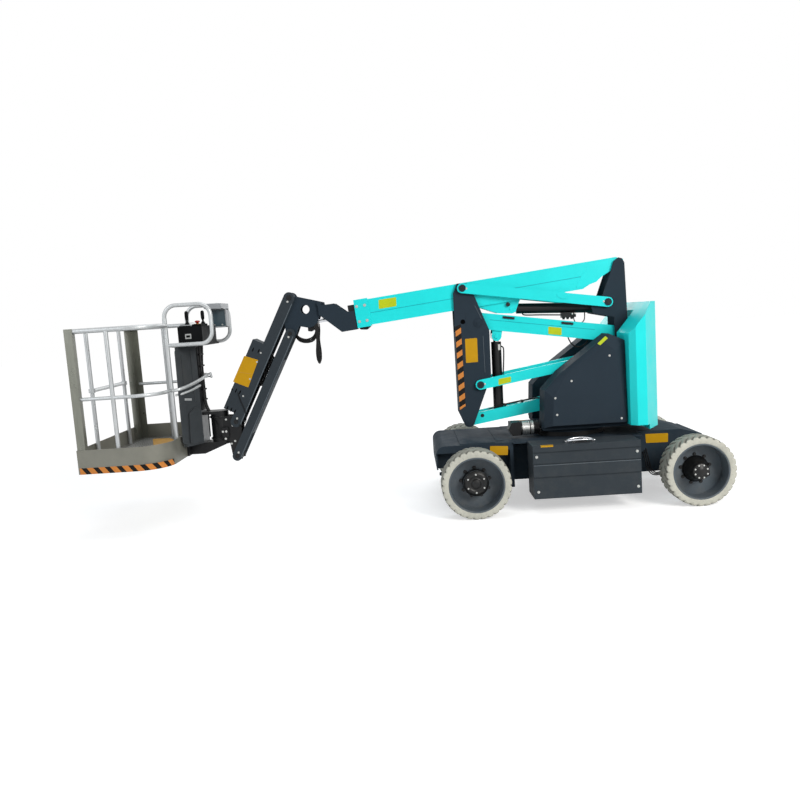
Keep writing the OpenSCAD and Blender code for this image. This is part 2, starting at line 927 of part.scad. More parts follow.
module upper_arm() {
    rise = up_arm_h * (up_arm_rise_share - 0.5);
    color(teal)
        machine()
            sloped(up_rear, riser_a)
                difference() {
                    union() {
                        translate([-riser_l, -arm_w / 2, rise - up_arm_h / 2])
                            cube([riser_l, arm_w, up_arm_h]);
                        for (x = [-riser_l, 0])
                            translate([x, 0, 0])
                                cross_bar(up_arm_h * 0.36, arm_w);
                        translate([-riser_l + riser_head_s, 0, -riser_head_drop])
                            head_ears(riser_head_drop - up_arm_h * (1 - up_arm_rise_share));
                    }
                    for (x = [-riser_l, 0])
                        translate([x, 0, 0])
                            cross_bar(pin_r + seat, arm_w + over);
                    translate([-riser_l - up_arm_h, -arm_w, up_arm_h * 0.36])
                        cube([up_arm_h, 2 * arm_w, up_arm_h]);
                }
}

// Two ears beside a cylinder's head, reaching up to what carries them
module head_ears(reach) {
    both_sides()
        union() {
            rod_y(fork_in, fork_in + fork_lug, 2 * eye_r);
            span([-eye_r, fork_in, 0], [eye_r, fork_in + fork_lug, reach + over]);
            rod_y(fork_in + fork_lug - over, fork_in + fork_lug + run_gap, 2 * eye_pin_r);
        }
}

// Two plates that carry a cylinder's head, drawn out forwards along the boom
ear_shares = [[-7, 1], [-3, -0.45], [0, -1], [0.7, -0.8], [1.1, 0], [2, 1]];

module boom_ears(reach) {
    both_sides() {
        side_plate(fork_in, fork_lug)
            polygon([for (p = ear_shares) [p[0] * eye_r, p[1] > 0 ? reach + over : p[1] * eye_r]]);
        rod_y(fork_in + fork_lug - over, fork_in + fork_lug + run_gap, 2 * eye_pin_r);
    }
}

mast_shares = [
    [0.088, -0.097], [0.08, 0.38], [0.061, 1.016], [0.03, 1.075], [-0.02, 1.09], [-0.085, 1.045],
    [-0.13, 0.9], [-0.254, 0.57], [-0.416, 0.43], [-0.38, 0.344], [-0.097, 0.279], [-0.097, -0.065],
    [-0.04, -0.1]
];

module rear_mast() {
    color(slate)
        machine() {
            both_sides()
                side_plate(cheek_in / 2, cheek_t)
                    polygon([for (p = mast_shares) up_rear + p * boom_pin_dz]);
            at(up_rear)
                cross_bar(pin_r, cheek_in + over);
            at(boom_pin)
                cross_bar(pin_r, cheek_in + over);
            at(lift_foot)
                cross_bar(eye_pin_r, cheek_in + over);
            stub_pins(up_rear + link_off_up);
        }
}

// Cylinders: foot at the origin, rod towards +X
module barrel(l) {
    difference() {
        union() {
            cross_bar(eye_r, barrel_d - over);
            rod_x(0, l, barrel_d);
        }
        cross_bar(eye_pin_r + seat, barrel_d + over);
        rod_x(eye_r + run_gap, l + over, rod_d + 2 * seat);
    }
}

module rod(l, from) {
    difference() {
        union() {
            rod_x(from, l, rod_d);
            translate([l, 0, 0])
                cross_bar(eye_r, barrel_d - over);
        }
        translate([l, 0, 0])
            cross_bar(eye_pin_r + seat, barrel_d + over);
    }
}

function reach(a, b) = norm(b - a);
function turn(a, b) = -atan2(b[1] - a[1], b[0] - a[0]);

module riser_barrel() {
    color(black)
        machine()
            sloped(riser_foot, turn(riser_foot, riser_head))
                barrel(reach(riser_foot, riser_head) - eye_r - head_gap);
}

module riser_rod() {
    l = reach(riser_foot, riser_head);
    color(steel)
        machine()
            sloped(riser_foot, turn(riser_foot, riser_head))
                rod(l, 2 * eye_r);
}

module lift_barrel() {
    color(black)
        machine()
            sloped(lift_foot, turn(lift_foot, lift_head))
                barrel(reach(lift_foot, lift_head) - eye_r - head_gap);
}

module lift_rod() {
    l = reach(lift_foot, lift_head);
    color(steel)
        machine()
            sloped(lift_foot, turn(lift_foot, lift_head))
                rod(l, 2 * eye_r);
}

// Boom
heel_l = boom_h * 1.9;

module outer_boom() {
    low = boom_top - boom_h;
    color(teal)
        machine()
            sloped(boom_pin, -boom_a)
                difference() {
                    union() {
                        span([-boom_l, -boom_w / 2, low], [-boom_h * 1.5, boom_w / 2, boom_top]);
                        side_plate(-boom_w / 2, boom_w)
                            polygon([
                                [-boom_h * 1.5 - over, low], [-boom_h * 0.4, -pin_r * 2],
                                [pin_r * 1.6, -pin_r], [pin_r * 1.6, boom_top * 0.6], [-pin_r, boom_top],
                                [-boom_h * 1.5 - over, boom_top]
                            ]);
                        translate([-lift_head_s, 0, -lift_head_drop])
                            boom_ears(lift_head_drop + low);
                    }
                    span([-boom_l - over, -boom_w / 2 + boom_t, low + boom_t],
                         [-heel_l, boom_w / 2 - boom_t, boom_top - boom_t]);
                    cross_bar(pin_r + seat, boom_w + over);
                }
}

module boom_collar() {
    low = boom_top - boom_h;
    color(teal)
        machine()
            sloped(boom_pin, -boom_a)
                difference() {
                    span([-boom_l - over, -boom_w / 2 - collar_t, low - collar_t],
                         [-boom_l + collar_l, boom_w / 2 + collar_t, boom_top + collar_t]);
                    span([-boom_l, -boom_w / 2 - seat, low - seat],
                         [-boom_l + collar_l + over, boom_w / 2 + seat, boom_top + seat]);
                    span([-boom_l - 2 * over, -tube_w / 2 - seat, tube_mid - tube_h / 2 - seat],
                         [-boom_l + over, tube_w / 2 + seat, tube_mid + tube_h / 2 + seat]);
                }
}

tube_out_share = 0.2;

module inner_boom() {
    color(slate)
        machine()
            sloped(boom_pin, -boom_a)
                difference() {
                    span([-boom_l - nose_l * tube_out_share, -tube_w / 2, tube_mid - tube_h / 2],
                         [-heel_l - tube_stop, tube_w / 2, tube_mid + tube_h / 2]);
                    span([-boom_l, -tube_w / 2 + tube_t, tube_mid - tube_h / 2 + tube_t],
                         [-heel_l, tube_w / 2 - tube_t, tube_mid + tube_h / 2 - tube_t]);
                    translate([0, 0, tube_mid - tube_h * level_z_share])
                        rod_x(-boom_l - nose_l, -boom_l + over, level_d + 2 * seat);
                }
}

nose_shares = [
    [0.024, -0.78], [0.48, -0.78], [1.06, 0.28], [1.04, 0.75], [0.56, 0.72], [0.24, 0.19], [0.024, 0.19]
];

nose_web_shares = [[0.22, -0.78], [0.47, -0.78], [0.5, -0.71], [0.24, -0.71]];

module gooseneck() {
    color(slate)
        machine()
            sloped(boom_pin, -boom_a) {
                both_sides()
                    side_plate(nose_in + seat, nose_t)
                        polygon([for (p = nose_shares) [-boom_l - p[0] * nose_l, tube_mid + p[1] * tube_h]]);
                translate([nose_pin[0], 0, nose_pin[1]])
                    cross_bar(jib_pin_r, 2 * nose_out);
                side_plate(-nose_in - over, 2 * nose_in + 2 * over)
                    polygon([for (p = nose_web_shares) [-boom_l - p[0] * nose_l, tube_mid + p[1] * tube_h]]);
            }
}

level_x_share = 0.32;
level_z_share = 0.03;

module level_rod() {
    color(steel)
        machine()
            sloped(boom_pin, -boom_a)
                translate([nose_pin[0], 0, tube_mid - tube_h * level_z_share]) {
                    rod_x(-nose_l * level_x_share, nose_l, level_d);
                    translate([-nose_l * level_x_share, 0, 0])
                        cross_bar(level_d, level_d);
                }
}

// Jib
knuckle_shares = [
    [1.2, 0.55], [0.9, 1.25], [-0.12, 0.2], [-0.15, -0.3], [0.17, -2.7], [0.4, -3], [0.75, -2.7], [0.9, -4],
    [1.2, -4], [1.25, -1.5]
];

module jib_knuckle() {
    color(slate)
        machine()
            difference() {
                union() {
                    both_sides()
                        side_plate(knuckle_w / 2 - jib_t, jib_t)
                            polygon([for (p = knuckle_shares)
                                knuckle_pin + [-p[0] * knuckle_dx, p[1] * knuckle_dz]]);
                    for (p = [jib_top, jib_top + jib_off])
                        at(p) {
                            cross_bar(jib_pin_r * 2, knuckle_w);
                            cross_bar(jib_pin_r, 2 * nose_out);
                        }
                }
                at(knuckle_pin)
                    cross_bar(jib_pin_r + seat, knuckle_w + over);
                at(knuckle_pin + [-knuckle_dx / 2, -knuckle_dz * 0.6])
                    cross_bar(window_r, knuckle_w + over);
            }
}

module jib_bars(h, web, web_side) {
    difference() {
        union() {
            both_sides()
                side_plate(nose_in + seat, nose_t)
                    bar_shape(jib_l, h);
            translate([0, 0, web_side * (h - jib_t) / 2])
                span([-jib_l * (1 - web), -nose_in - over, -jib_t / 2],
                     [-jib_l * web, nose_in + over, jib_t / 2]);
        }
        for (x = [-jib_l, 0])
            translate([x, 0, 0])
                cross_bar(jib_pin_r + seat, 2 * nose_out + 2 * over);
    }
}

jib_web_share = 0.2;

module jib_arm() {
    color(slate)
        machine()
            sloped(jib_top, -jib_a)
                jib_bars(jib_arm_h, jib_web_share, 1);
}

module jib_link() {
    color(slate)
        machine()
            sloped(jib_top + jib_off, -jib_a)
                jib_bars(jib_link_h, jib_web_share, -1);
}

module jib_cover() {
    color(slate)
        machine()
            sloped(jib_top, -jib_a)
                span([-jib_cover_s - jib_cover_l, -nose_out - seat, jib_arm_h / 2 + seat],
                     [-jib_cover_s, nose_out + seat, jib_arm_h / 2 + jib_cover_h]);
}

swivel_r = 78;
carrier_low = jib_low[1] - jib_dz * 0.55;
carrier_top = jib_low[1] + jib_dz * 0.25;

module platform_carrier() {
    color(black)
        machine() {
            both_sides()
                side_plate(knuckle_w / 2 - jib_t, jib_t)
                    polygon([
                        [swivel_x, carrier_low], [swivel_x + swivel_r + run_gap, carrier_low],
                        jib_low + jib_off + [-jib_pin_r * 2, -jib_pin_r],
                        jib_low + jib_off + [jib_pin_r * 2, -jib_pin_r * 1.5], jib_low + [jib_pin_r * 2, 0],
                        jib_low + [0, jib_pin_r * 2.4], [swivel_x, carrier_top - jib_pin_r]
                    ]);
            for (p = [jib_low, jib_low + jib_off])
                at(p) {
                    cross_bar(jib_pin_r * 1.7, knuckle_w);
                    cross_bar(jib_pin_r, 2 * nose_out);
                }
            translate([swivel_x, 0, 0])
                rod_z(carrier_low, carrier_top, 2 * swivel_r);
        }
}

module platform_support() {
    color(black)
        machine() {
            translate([swivel_x, 0, 0]) {
                rod_z(carrier_low - table_t - seat, carrier_low - seat, 2 * swivel_r);
                rod_z(carrier_top + seat, carrier_top + seat + table_t, 2 * swivel_r);
                span([-platform_gap + toe_t, -swivel_r, carrier_top + seat],
                     [0, swivel_r, carrier_top + seat + table_t]);
            }
            side_plate(-swivel_r, 2 * swivel_r)
                polygon([
                    [platform_rear + toe_t, platform_z], [platform_rear + platform_gap * 0.5, platform_z],
                    [swivel_x + swivel_r * 0.7, carrier_low - table_t - seat], [swivel_x, carrier_low - seat],
                    [platform_rear + toe_t, carrier_low - seat]
                ]);
            span([platform_rear + seat, -swivel_r * 2, platform_z],
                 [platform_rear + jib_t, swivel_r * 2, carrier_top + seat + table_t]);
        }
}

// Platform
module platform_outline(inset) {
    x0 = platform_front + inset;
    x1 = platform_rear - inset;
    w = platform_w / 2 - inset;
    r = corner_r - inset;
    translate([x0, -w])
        square([x1 - x0 - r, 2 * w]);
    translate([x0, -w + r])
        square([x1 - x0, 2 * w - 2 * r]);
    for (s = [-1, 1])
        translate([x1 - r, s * (w - r)])
            circle(r = r, $fn = 96);
}

module platform_tray() {
    color(alloy)
        machine()
            translate([0, 0, platform_z])
                difference() {
                    linear_extrude(height = toe_h)
                        platform_outline(0);
                    translate([0, 0, floor_t])
                        linear_extrude(height = toe_h)
                            platform_outline(toe_t);
                }
}

module front_guard() {
    z0 = platform_z + floor_t;
    z1 = platform_z + rail_h;
    x = platform_front + toe_t;
    y = platform_w / 2 - toe_t;
    color(alloy)
        machine() {
            both_sides() {
                span([x, y - corner_leg_y, z0], [x + corner_t, y, z1]);
                span([x, y - corner_t, z0], [x + corner_leg_x, y, z1]);
                translate([x + post_d / 2, gate_w / 2, 0])
                    rod_z(z0, z1, post_d);
            }
            translate([x + post_d / 2, 0, z1 - rail_d / 2])
                rod_y(-y + corner_t, y - corner_t, rail_d);
        }
}

module gate_bar() {
    ring = post_d / 2 + seat;
    x = platform_front + toe_t + post_d / 2;
    color(alloy)
        machine()
            translate([x, 0, platform_z + gate_h])
                difference() {
                    union() {
                        rod_y(-gate_w / 2 + ring, gate_w / 2 - ring, post_d);
                        both_sides()
                            translate([0, gate_w / 2, 0])
                                rod_z(-post_d / 2, post_d / 2, post_d * 1.6);
                    }
                    both_sides()
                        translate([0, gate_w / 2, 0])
                            cylinder(r = ring, h = 2 * post_d, center = true);
                }
}

// Rails run inside the corner posts and start behind the front rail
rail_line = toe_t + corner_t + seat + rail_d / 2;
rail_start = (post_d + rail_d) / 2 + seat;

module corner_bend(d) {
    r = corner_r - rail_line;
    rotate_extrude(angle = 90, $fn = 96)
        translate([r, 0])
            circle(d = d);
}

module side_rail(h, d) {
    y = platform_w / 2 - rail_line;
    x = platform_rear - corner_r;
    translate([0, 0, platform_z + h]) {
        translate([0, y, 0])
            rod_x(platform_front + toe_t + rail_start, x, d);
        translate([x, platform_w / 2 - corner_r, 0])
            corner_bend(d);
        translate([platform_rear - rail_line, 0, 0])
            rod_y(loop_gap / 2, platform_w / 2 - corner_r, d);
    }
}

module guard_loop() {
    x0 = platform_rear - rail_line;
    x1 = platform_rear + loop_l - rail_d / 2;
    z0 = platform_z + loop_z + rail_d / 2;
    z1 = z0 + loop_h - rail_d;
    translate([0, loop_gap / 2, 0]) {
        translate([x0, 0, 0])
            rod_z(platform_z + floor_t, z1 - loop_r, leg_d);
        translate([x1, 0, 0])
            rod_z(z0 + loop_r, z1 - loop_r, post_d);
        translate([0, 0, z1])
            rod_x(x0 + loop_r, x1 - loop_r, post_d);
        translate([0, 0, z0])
            rod_x(x0, x1 - loop_r, post_d);
        loop_bend(x0 + loop_r, z1 - loop_r, 90);
        loop_bend(x1 - loop_r, z1 - loop_r, 0);
        loop_bend(x1 - loop_r, z0 + loop_r, -90);
    }
}

module loop_bend(x, z, a) {
    translate([x, 0, z])
        rotate([90, -a, 0])
            rotate_extrude(angle = 90)
                translate([loop_r, 0])
                    circle(d = post_d);
}

baluster_share = 0.46;

module guard(side) {
    y = platform_w / 2 - rail_line;
    color(alloy)
        machine()
            scale_y(side) {
                side_rail(rail_h - rail_d / 2, rail_d);
                side_rail(mid_h, mid_d);
                translate([platform_front + platform_l * baluster_share, y, 0])
                    rod_z(platform_z + floor_t, platform_z + rail_h - rail_d / 2, post_d);
                guard_loop();
            }
}

panel_shares = [
    [0, 1.73], [0.22, 1.73], [0.9, 0.6], [0.9, -0.6], [0.22, -1.73], [0, -1.73],
    [0, -1.65], [0.17, -1.65], [0.8, -0.56], [0.8, 0.56], [0.17, 1.65], [0, 1.65]
];

module console_panel() {
    deep = platform_gap / 2;
    z0 = carrier_low + seat;
    color(slate)
        machine()
            difference() {
                translate([platform_rear + jib_t + seat, 0, z0])
                    linear_extrude(height = platform_z + loop_z - seat - z0)
                        polygon([for (p = panel_shares) [p[0] * deep, p[1] * swivel_r * 2]]);
                span([platform_rear, -swivel_r - seat, carrier_top],
                     [swivel_x, swivel_r + seat, carrier_top + table_t + 2 * seat]);
            }
}

console_shares = [0.11, 0.66];

module console() {
    z0 = platform_z + loop_z + seat;
    color(black)
        machine() {
            span([platform_rear + loop_l * console_shares[0], -loop_gap * 0.36, z0],
                 [platform_rear + loop_l * console_shares[1], loop_gap * 0.36, z0 + loop_h * 0.4575]);
            span([platform_rear + seat, -loop_gap / 2 + post_d / 2 + seat, z0],
                 [platform_rear + loop_l * console_shares[1], loop_gap / 2 - post_d / 2 - seat,
                  z0 + toe_t * 2]);
        }
}

hood_x_shares = [0.45, 0.97];
hood_z_shares = [0.46, 0.95];

module console_hood() {
    z0 = platform_z + loop_z;
    y1 = loop_gap / 2 - post_d / 2 - seat;
    color(grey)
        machine() {
            span([platform_rear + loop_l * hood_x_shares[0], toe_t, z0 + loop_h * hood_z_shares[0]],
                 [platform_rear + loop_l * hood_x_shares[1], y1, z0 + loop_h * hood_z_shares[1]]);
        }
}

chassis_frame();
tie_down_lugs();
front_hood();
rear_deck();
battery_box(-1);  // battery_box_left
battery_box(1);  // battery_box_right
front_axle();
rear_axle();
knuckle(-1);  // knuckle_left
knuckle(1);  // knuckle_right
tyre(-1, -1);  // tyre_front_left
tyre(-1, 1);  // tyre_front_right
tyre(1, -1);  // tyre_rear_left
tyre(1, 1);  // tyre_rear_right
rim(-1, -1, front_hub_h, hub_d);  // rim_front_left
rim(-1, 1, front_hub_h, hub_d);  // rim_front_right
rim(1, -1, rear_hub_h, rear_cap_d);  // rim_rear_left
rim(1, 1, rear_hub_h, rear_cap_d);  // rim_rear_right
slew_ring();
turntable_frame();
slew_drive();
cover(-1);  // cover_left
cover(1);  // cover_right
counterweight();
lower_arm();
lower_links();
front_upright();
upper_arm();
upper_links();
rear_mast();
riser_barrel();
riser_rod();
outer_boom();
boom_collar();
inner_boom();
gooseneck();
lift_barrel();
lift_rod();
level_rod();
jib_knuckle();
jib_arm();
jib_cover();
jib_link();
platform_carrier();
platform_support();
platform_tray();
front_guard();
gate_bar();
guard(-1);  // guard_left
guard(1);  // guard_right
console_panel();
console();
console_hood();
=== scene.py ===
"""Dresses the articulating boom lift: paint, tyres, hoses, signs, trim and the studio around it."""

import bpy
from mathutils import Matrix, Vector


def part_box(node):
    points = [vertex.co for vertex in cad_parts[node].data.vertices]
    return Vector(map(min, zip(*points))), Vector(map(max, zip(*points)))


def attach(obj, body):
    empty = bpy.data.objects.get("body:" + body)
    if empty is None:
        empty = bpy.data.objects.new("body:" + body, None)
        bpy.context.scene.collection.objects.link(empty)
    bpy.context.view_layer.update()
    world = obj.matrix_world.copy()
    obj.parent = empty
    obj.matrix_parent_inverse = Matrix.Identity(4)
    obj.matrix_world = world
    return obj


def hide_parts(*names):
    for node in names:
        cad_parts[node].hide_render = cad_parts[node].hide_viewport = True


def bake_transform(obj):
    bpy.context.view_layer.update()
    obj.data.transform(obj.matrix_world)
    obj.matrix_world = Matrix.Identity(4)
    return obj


bl_info = {
    "name": "Articulating boom lift",
    "version": (1, 0, 0),
    "blender": (4, 5, 0),
    "location": "View3D > Sidebar > Boom lift",
    "description": "Adds paint, tyres, hoses, signs and trim to the packed boom lift",
    "category": "Object",
}

import math

import bmesh
import bpy
from mathutils import Matrix, Vector

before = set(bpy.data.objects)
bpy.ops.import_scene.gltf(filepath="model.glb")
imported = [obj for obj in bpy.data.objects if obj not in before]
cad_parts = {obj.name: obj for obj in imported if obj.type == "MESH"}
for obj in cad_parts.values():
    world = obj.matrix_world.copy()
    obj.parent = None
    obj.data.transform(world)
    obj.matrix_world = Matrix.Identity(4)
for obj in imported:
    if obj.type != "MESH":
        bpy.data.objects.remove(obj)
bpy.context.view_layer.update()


# Shaping
def linear(red, green, blue):
    """A colour from screen values 0 to 255 as the scene's own values."""
    def one(v):
        v /= 255
        return v / 12.92 if v <= 0.04045 else ((v + 0.055) / 1.055) ** 2.4
    return (one(red), one(green), one(blue), 1.0)


class Stock:
    """Gathers the faces of one piece, with a material number for each form."""

    def __init__(self):
        self.bm = bmesh.new()

    def _mark(self, faces, finish, smooth=False):
        for f in faces:
            f.material_index = finish
            f.smooth = smooth

    def prism(self, outline, depth, finish=0, bevel=0.0, steps=2):
        """A flat outline of points in space, drawn out along depth."""
        before = set(self.bm.faces)
        face = self.bm.faces.new([self.bm.verts.new(p) for p in outline])
        grown = bmesh.ops.extrude_face_region(self.bm, geom=[face])
        moved = [v for v in grown["geom"] if isinstance(v, bmesh.types.BMVert)]
        bmesh.ops.translate(self.bm, verts=moved, vec=Vector(depth))
        new = [f for f in self.bm.faces if f not in before]
        if bevel:
            edges = list({e for f in new for e in f.edges})
            bmesh.ops.bevel(self.bm, geom=edges, offset=bevel, segments=steps, profile=0.5,
                            affect="EDGES", clamp_overlap=True)
        new = [f for f in self.bm.faces if f not in before]
        bmesh.ops.recalc_face_normals(self.bm, faces=new)
        self._mark(new, finish)

    def block(self, low, high, finish=0, bevel=0.002):
        """A box between two corners with eased edges."""
        (x0, y0, z0), (x1, y1, z1) = low, high
        self.prism([(x0, y0, z0), (x1, y0, z0), (x1, y1, z0), (x0, y1, z0)], (0, 0, z1 - z0), finish, bevel)

    def pair(self, points, y, depth, finish=0, bevel=0.0, steps=2, radius=0.0):
        """The same outline of (x, z) on both sides of the machine, drawn outwards from y."""
        for side in (-1, 1):
            outline = on_side(points, side * y)
            if radius:
                outline = rounded(outline, radius)
            self.prism(outline, (0, side * depth, 0), finish, bevel, steps)

    def spin(self, profile, centre, axis, finish=0, sides=48, smooth=True, shift=None):
        """A profile of (radius, height) turned about an axis; shift moves a point of the grid."""
        axis = Vector(axis).normalized()
        side = axis.orthogonal().normalized()
        other = axis.cross(side)
        centre = Vector(centre)
        rows = []
        for k in range(sides):
            turn = 2 * math.pi * k / sides
            out = side * math.cos(turn) + other * math.sin(turn)
            row = []
            for n, (radius, height) in enumerate(profile):
                if shift:
                    radius, height = shift(turn, n, radius, height)
                row.append(self.bm.verts.new(centre + out * radius + axis * height))
            rows.append(row)
        new = []
        last = len(profile) - 1
        for k in range(sides):
            a, b = rows[k], rows[(k + 1) % sides]
            new += [self.bm.faces.new((a[n], b[n], b[n + 1], a[n + 1])) for n in range(last)]
        if profile[0] != profile[-1]:
            for n in (0, last):
                if profile[n][0] > 0:
                    new.append(self.bm.faces.new([row[n] for row in rows]))
        else:
            verts = [row[n] for row in rows for n in (0, last)]
            bmesh.ops.remove_doubles(self.bm, verts=verts, dist=1e-6)
            new = [f for f in new if f.is_valid]
        bmesh.ops.recalc_face_normals(self.bm, faces=new)
        self._mark(new, finish, smooth)

    def tube(self, points, radius, finish=0, sides=10):
        """A round bar or pipe along a path, closed at both ends."""
        path = [Vector(p) for p in points]
        ahead = [(path[min(k + 1, len(path) - 1)] - path[max(k - 1, 0)]).normalized()
                 for k in range(len(path))]
        side = ahead[0].orthogonal().normalized()
        turns = [2 * math.pi * k / sides for k in range(sides)]
        rings = []
        for p, t in zip(path, ahead):
            side = (side - t * side.dot(t)).normalized()
            other = t.cross(side)
            rings.append([self.bm.verts.new(p + radius * (side * math.cos(a) + other * math.sin(a)))
                          for a in turns])
        new = []
        for a, b in zip(rings, rings[1:]):
            new += [self.bm.faces.new((a[k], a[(k + 1) % sides], b[(k + 1) % sides], b[k]))
                    for k in range(sides)]
        ends = [self.bm.faces.new(rings[0]), self.bm.faces.new(rings[-1])]
        bmesh.ops.recalc_face_normals(self.bm, faces=new + ends)
        self._mark(new, finish, True)
        self._mark(ends, finish)

    def done(self, name, body, finishes):
        """Makes the object, gives it its finishes by their names and lets it ride on a body."""
        mesh = bpy.data.meshes.new(name)
        self.bm.to_mesh(mesh)
        self.bm.free()
        for finish in finishes.split():
            mesh.materials.append(FINISH[finish])
        piece = bpy.data.objects.new(name, mesh)
        bpy.context.scene.collection.objects.link(piece)
        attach(piece, body)
        return piece


def rounded(corners, radius, steps=5):
    """The corners of a flat outline in space, each turned into an arc."""
    points = [Vector(c) for c in corners]
    out = []
    for k, p in enumerate(points):
        a = (points[k - 1] - p).normalized()
        b = (points[(k + 1) % len(points)] - p).normalized()
        half = a.angle(b) / 2
        cut = min(radius / math.tan(half), (points[k - 1] - p).length * 0.45,
                  (points[(k + 1) % len(points)] - p).length * 0.45)
        r = cut * math.tan(half)
        middle = p + (a + b).normalized() * (r / math.sin(half))
        start, end = p + a * cut, p + b * cut
        for s in range(steps + 1):
            q = start.lerp(end, s / steps) - middle
            out.append(middle + q.normalized() * r)
    return out


def on_side(points, y):
    """Points (x, z) set on the plane at y."""
    return [(x, y, z) for x, z in points]


FINE = 24  # steps between two given points of a soft line


def smooth_path(points, count):
    """A soft line through the points, with that many points of even spacing."""
    p = [Vector(q) for q in points]
    p = [2 * p[0] - p[1]] + p + [2 * p[-1] - p[-2]]
    fine = []
    for k in range(1, len(p) - 2):
        a, b, c, d = p[k - 1:k + 3]
        for s in range(FINE):
            t = s / FINE
            fine.append(0.5 * (2 * b + (c - a) * t + (2 * a - 5 * b + 4 * c - d) * t * t
                               + (3 * b - a - 3 * c + d) * t ** 3))
    fine.append(p[-2])
    run = [0.0]
    for a, b in zip(fine, fine[1:]):
        run.append(run[-1] + (b - a).length)
    out, k = [], 0
    for n in range(count):
        want = run[-1] * n / (count - 1)
        while k < len(run) - 2 and run[k + 1] < want:
            k += 1
        gap = run[k + 1] - run[k]
        out.append(fine[k].lerp(fine[k + 1], (want - run[k]) / gap if gap else 0))
    return out


# Finishes
FINISH = {}
DUST, SCUFF = linear(150, 143, 130), linear(120, 105, 90)
PLATE_Y = 0.45  # the front guard's corner plates lie beyond this, to either side
FLOOR_BELOW = 0.65  # the platform floor's level faces lie below this


class Finish:
    """Builds one node material step by step."""

    def __init__(self, name, rough=0.5, metal=0.0, coat=0.0, level=0.5):
        self.material = bpy.data.materials.new(name)
        self.material.use_nodes = True
        self.tree = self.material.node_tree
        self.shader = self.tree.nodes["Principled BSDF"]
        for socket, value in (("Roughness", rough), ("Metallic", metal), ("Coat Weight", coat),
                              ("Coat Roughness", 0.12), ("Specular IOR Level", level)):
            self.shader.inputs[socket].default_value = value
        self.place = self.tree.nodes.new("ShaderNodeTexCoord").outputs["Object"]

    def node(self, kind, links=(), **values):
        node = self.tree.nodes.new(kind)
        for key, value in values.items():
            setattr(node, key, value)
        for socket, source in dict(links).items():
            if isinstance(source, bpy.types.NodeSocket):
                self.tree.links.new(source, node.inputs[socket])
            else:
                node.inputs[socket].default_value = source
        return node

    def noise(self, scale, detail=4.0, rough=0.55, stretch=None):
        place = self.place
        if stretch:
            place = self.node("ShaderNodeMapping", {"Vector": place, "Scale": stretch}).outputs[0]
        return self.node("ShaderNodeTexNoise", {"Vector": place, "Scale": scale, "Detail": detail,
                                                "Roughness": rough}).outputs["Fac"]

    def ramp(self, factor, stops):
        ramp = self.node("ShaderNodeValToRGB", {"Fac": factor})
        while len(ramp.color_ramp.elements) < len(stops):
            ramp.color_ramp.elements.new(0.5)
        for element, (place, colour) in zip(ramp.color_ramp.elements, stops):
            element.position = place
            element.color = colour
        return ramp.outputs["Color"]

    def spread(self, factor, low, high, start=0.3, end=0.7):
        return self.node("ShaderNodeMapRange", {"Value": factor, "From Min": start, "From Max": end,
                                                "To Min": low, "To Max": high}).outputs["Result"]

    def mix(self, factor, a, b):
        return self.node("ShaderNodeMix", {"Factor": factor, 6: a, 7: b}, data_type="RGBA").outputs[2]

    def math(self, operation, a, b=0.0):
        return self.node("ShaderNodeMath", {0: a, 1: b}, operation=operation).outputs[0]

    def set(self, socket, source):
        self.tree.links.new(source, self.shader.inputs[socket])

    def bump(self, height, strength, distance):
        bump = self.node("ShaderNodeBump", {"Height": height, "Strength": strength,
                                            "Distance": distance})
        self.set("Normal", bump.outputs["Normal"])


def shade(colour, share):
    """A colour made lighter or darker by a share."""
    return tuple(min(1.0, c * share) for c in colour[:3]) + (1.0,)


def painted(name, colour, rough, coat=0.0, grain=900.0, depth=0.0002, dust=0.0, patch=3.0, swing=0.08,
            level=0.5):
    """Sprayed or moulded skin: cloudy tint, uneven gloss, fine grain and dust that gathers low down."""
    f = Finish(name, rough, coat=coat, level=level)
    cloud = f.noise(patch, 5.0)
    tint = f.ramp(cloud, [(0.25, shade(colour, 1 - swing)), (0.75, shade(colour, 1 + swing))])
    if dust:
        z = f.node("ShaderNodeSeparateXYZ", {0: f.place}).outputs["Z"]
        low = f.spread(z, 1.0, 0.0, 0.05, 0.9)
        film = f.math("MULTIPLY", low, f.spread(f.noise(11.0, 6.0, 0.7), 0, 1, 0.45, 0.75))
        tint = f.mix(f.math("MULTIPLY", film, dust), tint, DUST)
    f.set("Base Color", tint)
    f.set("Roughness", f.spread(f.noise(patch * 4, 6.0, 0.65), rough * 0.82, rough * 1.2))
    f.bump(f.noise(grain, 2.0), 0.35, depth)
    return f.material


def rubber(name, colour, dirt_and_shade):
    """Solid tyre compound with specks of dirt, greyer on the tread and most of all in its grooves: dirt and
    painted shade.
    """
    f = Finish(name, 0.78, level=0.3)
    cloud = f.noise(9.0, 6.0, 0.65)
    tint = f.ramp(cloud, [(0.3, shade(colour, 0.84)), (0.55, colour), (0.8, shade(colour, 1.08))])
    # dirt and painted shade: the groove attribute darkens the tread face and most of all the grooves; the
    # specks are dirt
    shade_and_dirt = f.node("ShaderNodeAttribute", attribute_name="groove").outputs["Fac"]
    speck = f.spread(f.noise(60.0, 4.0, 0.7), 0.0, 0.5, 0.55, 0.8)
    f.set("Base Color", f.mix(f.math("MAXIMUM", shade_and_dirt, speck), tint, dirt_and_shade))
    f.set("Roughness", f.spread(cloud, 0.68, 0.9))
    f.bump(f.noise(260.0, 4.0), 0.4, 0.0006)
    return f.material


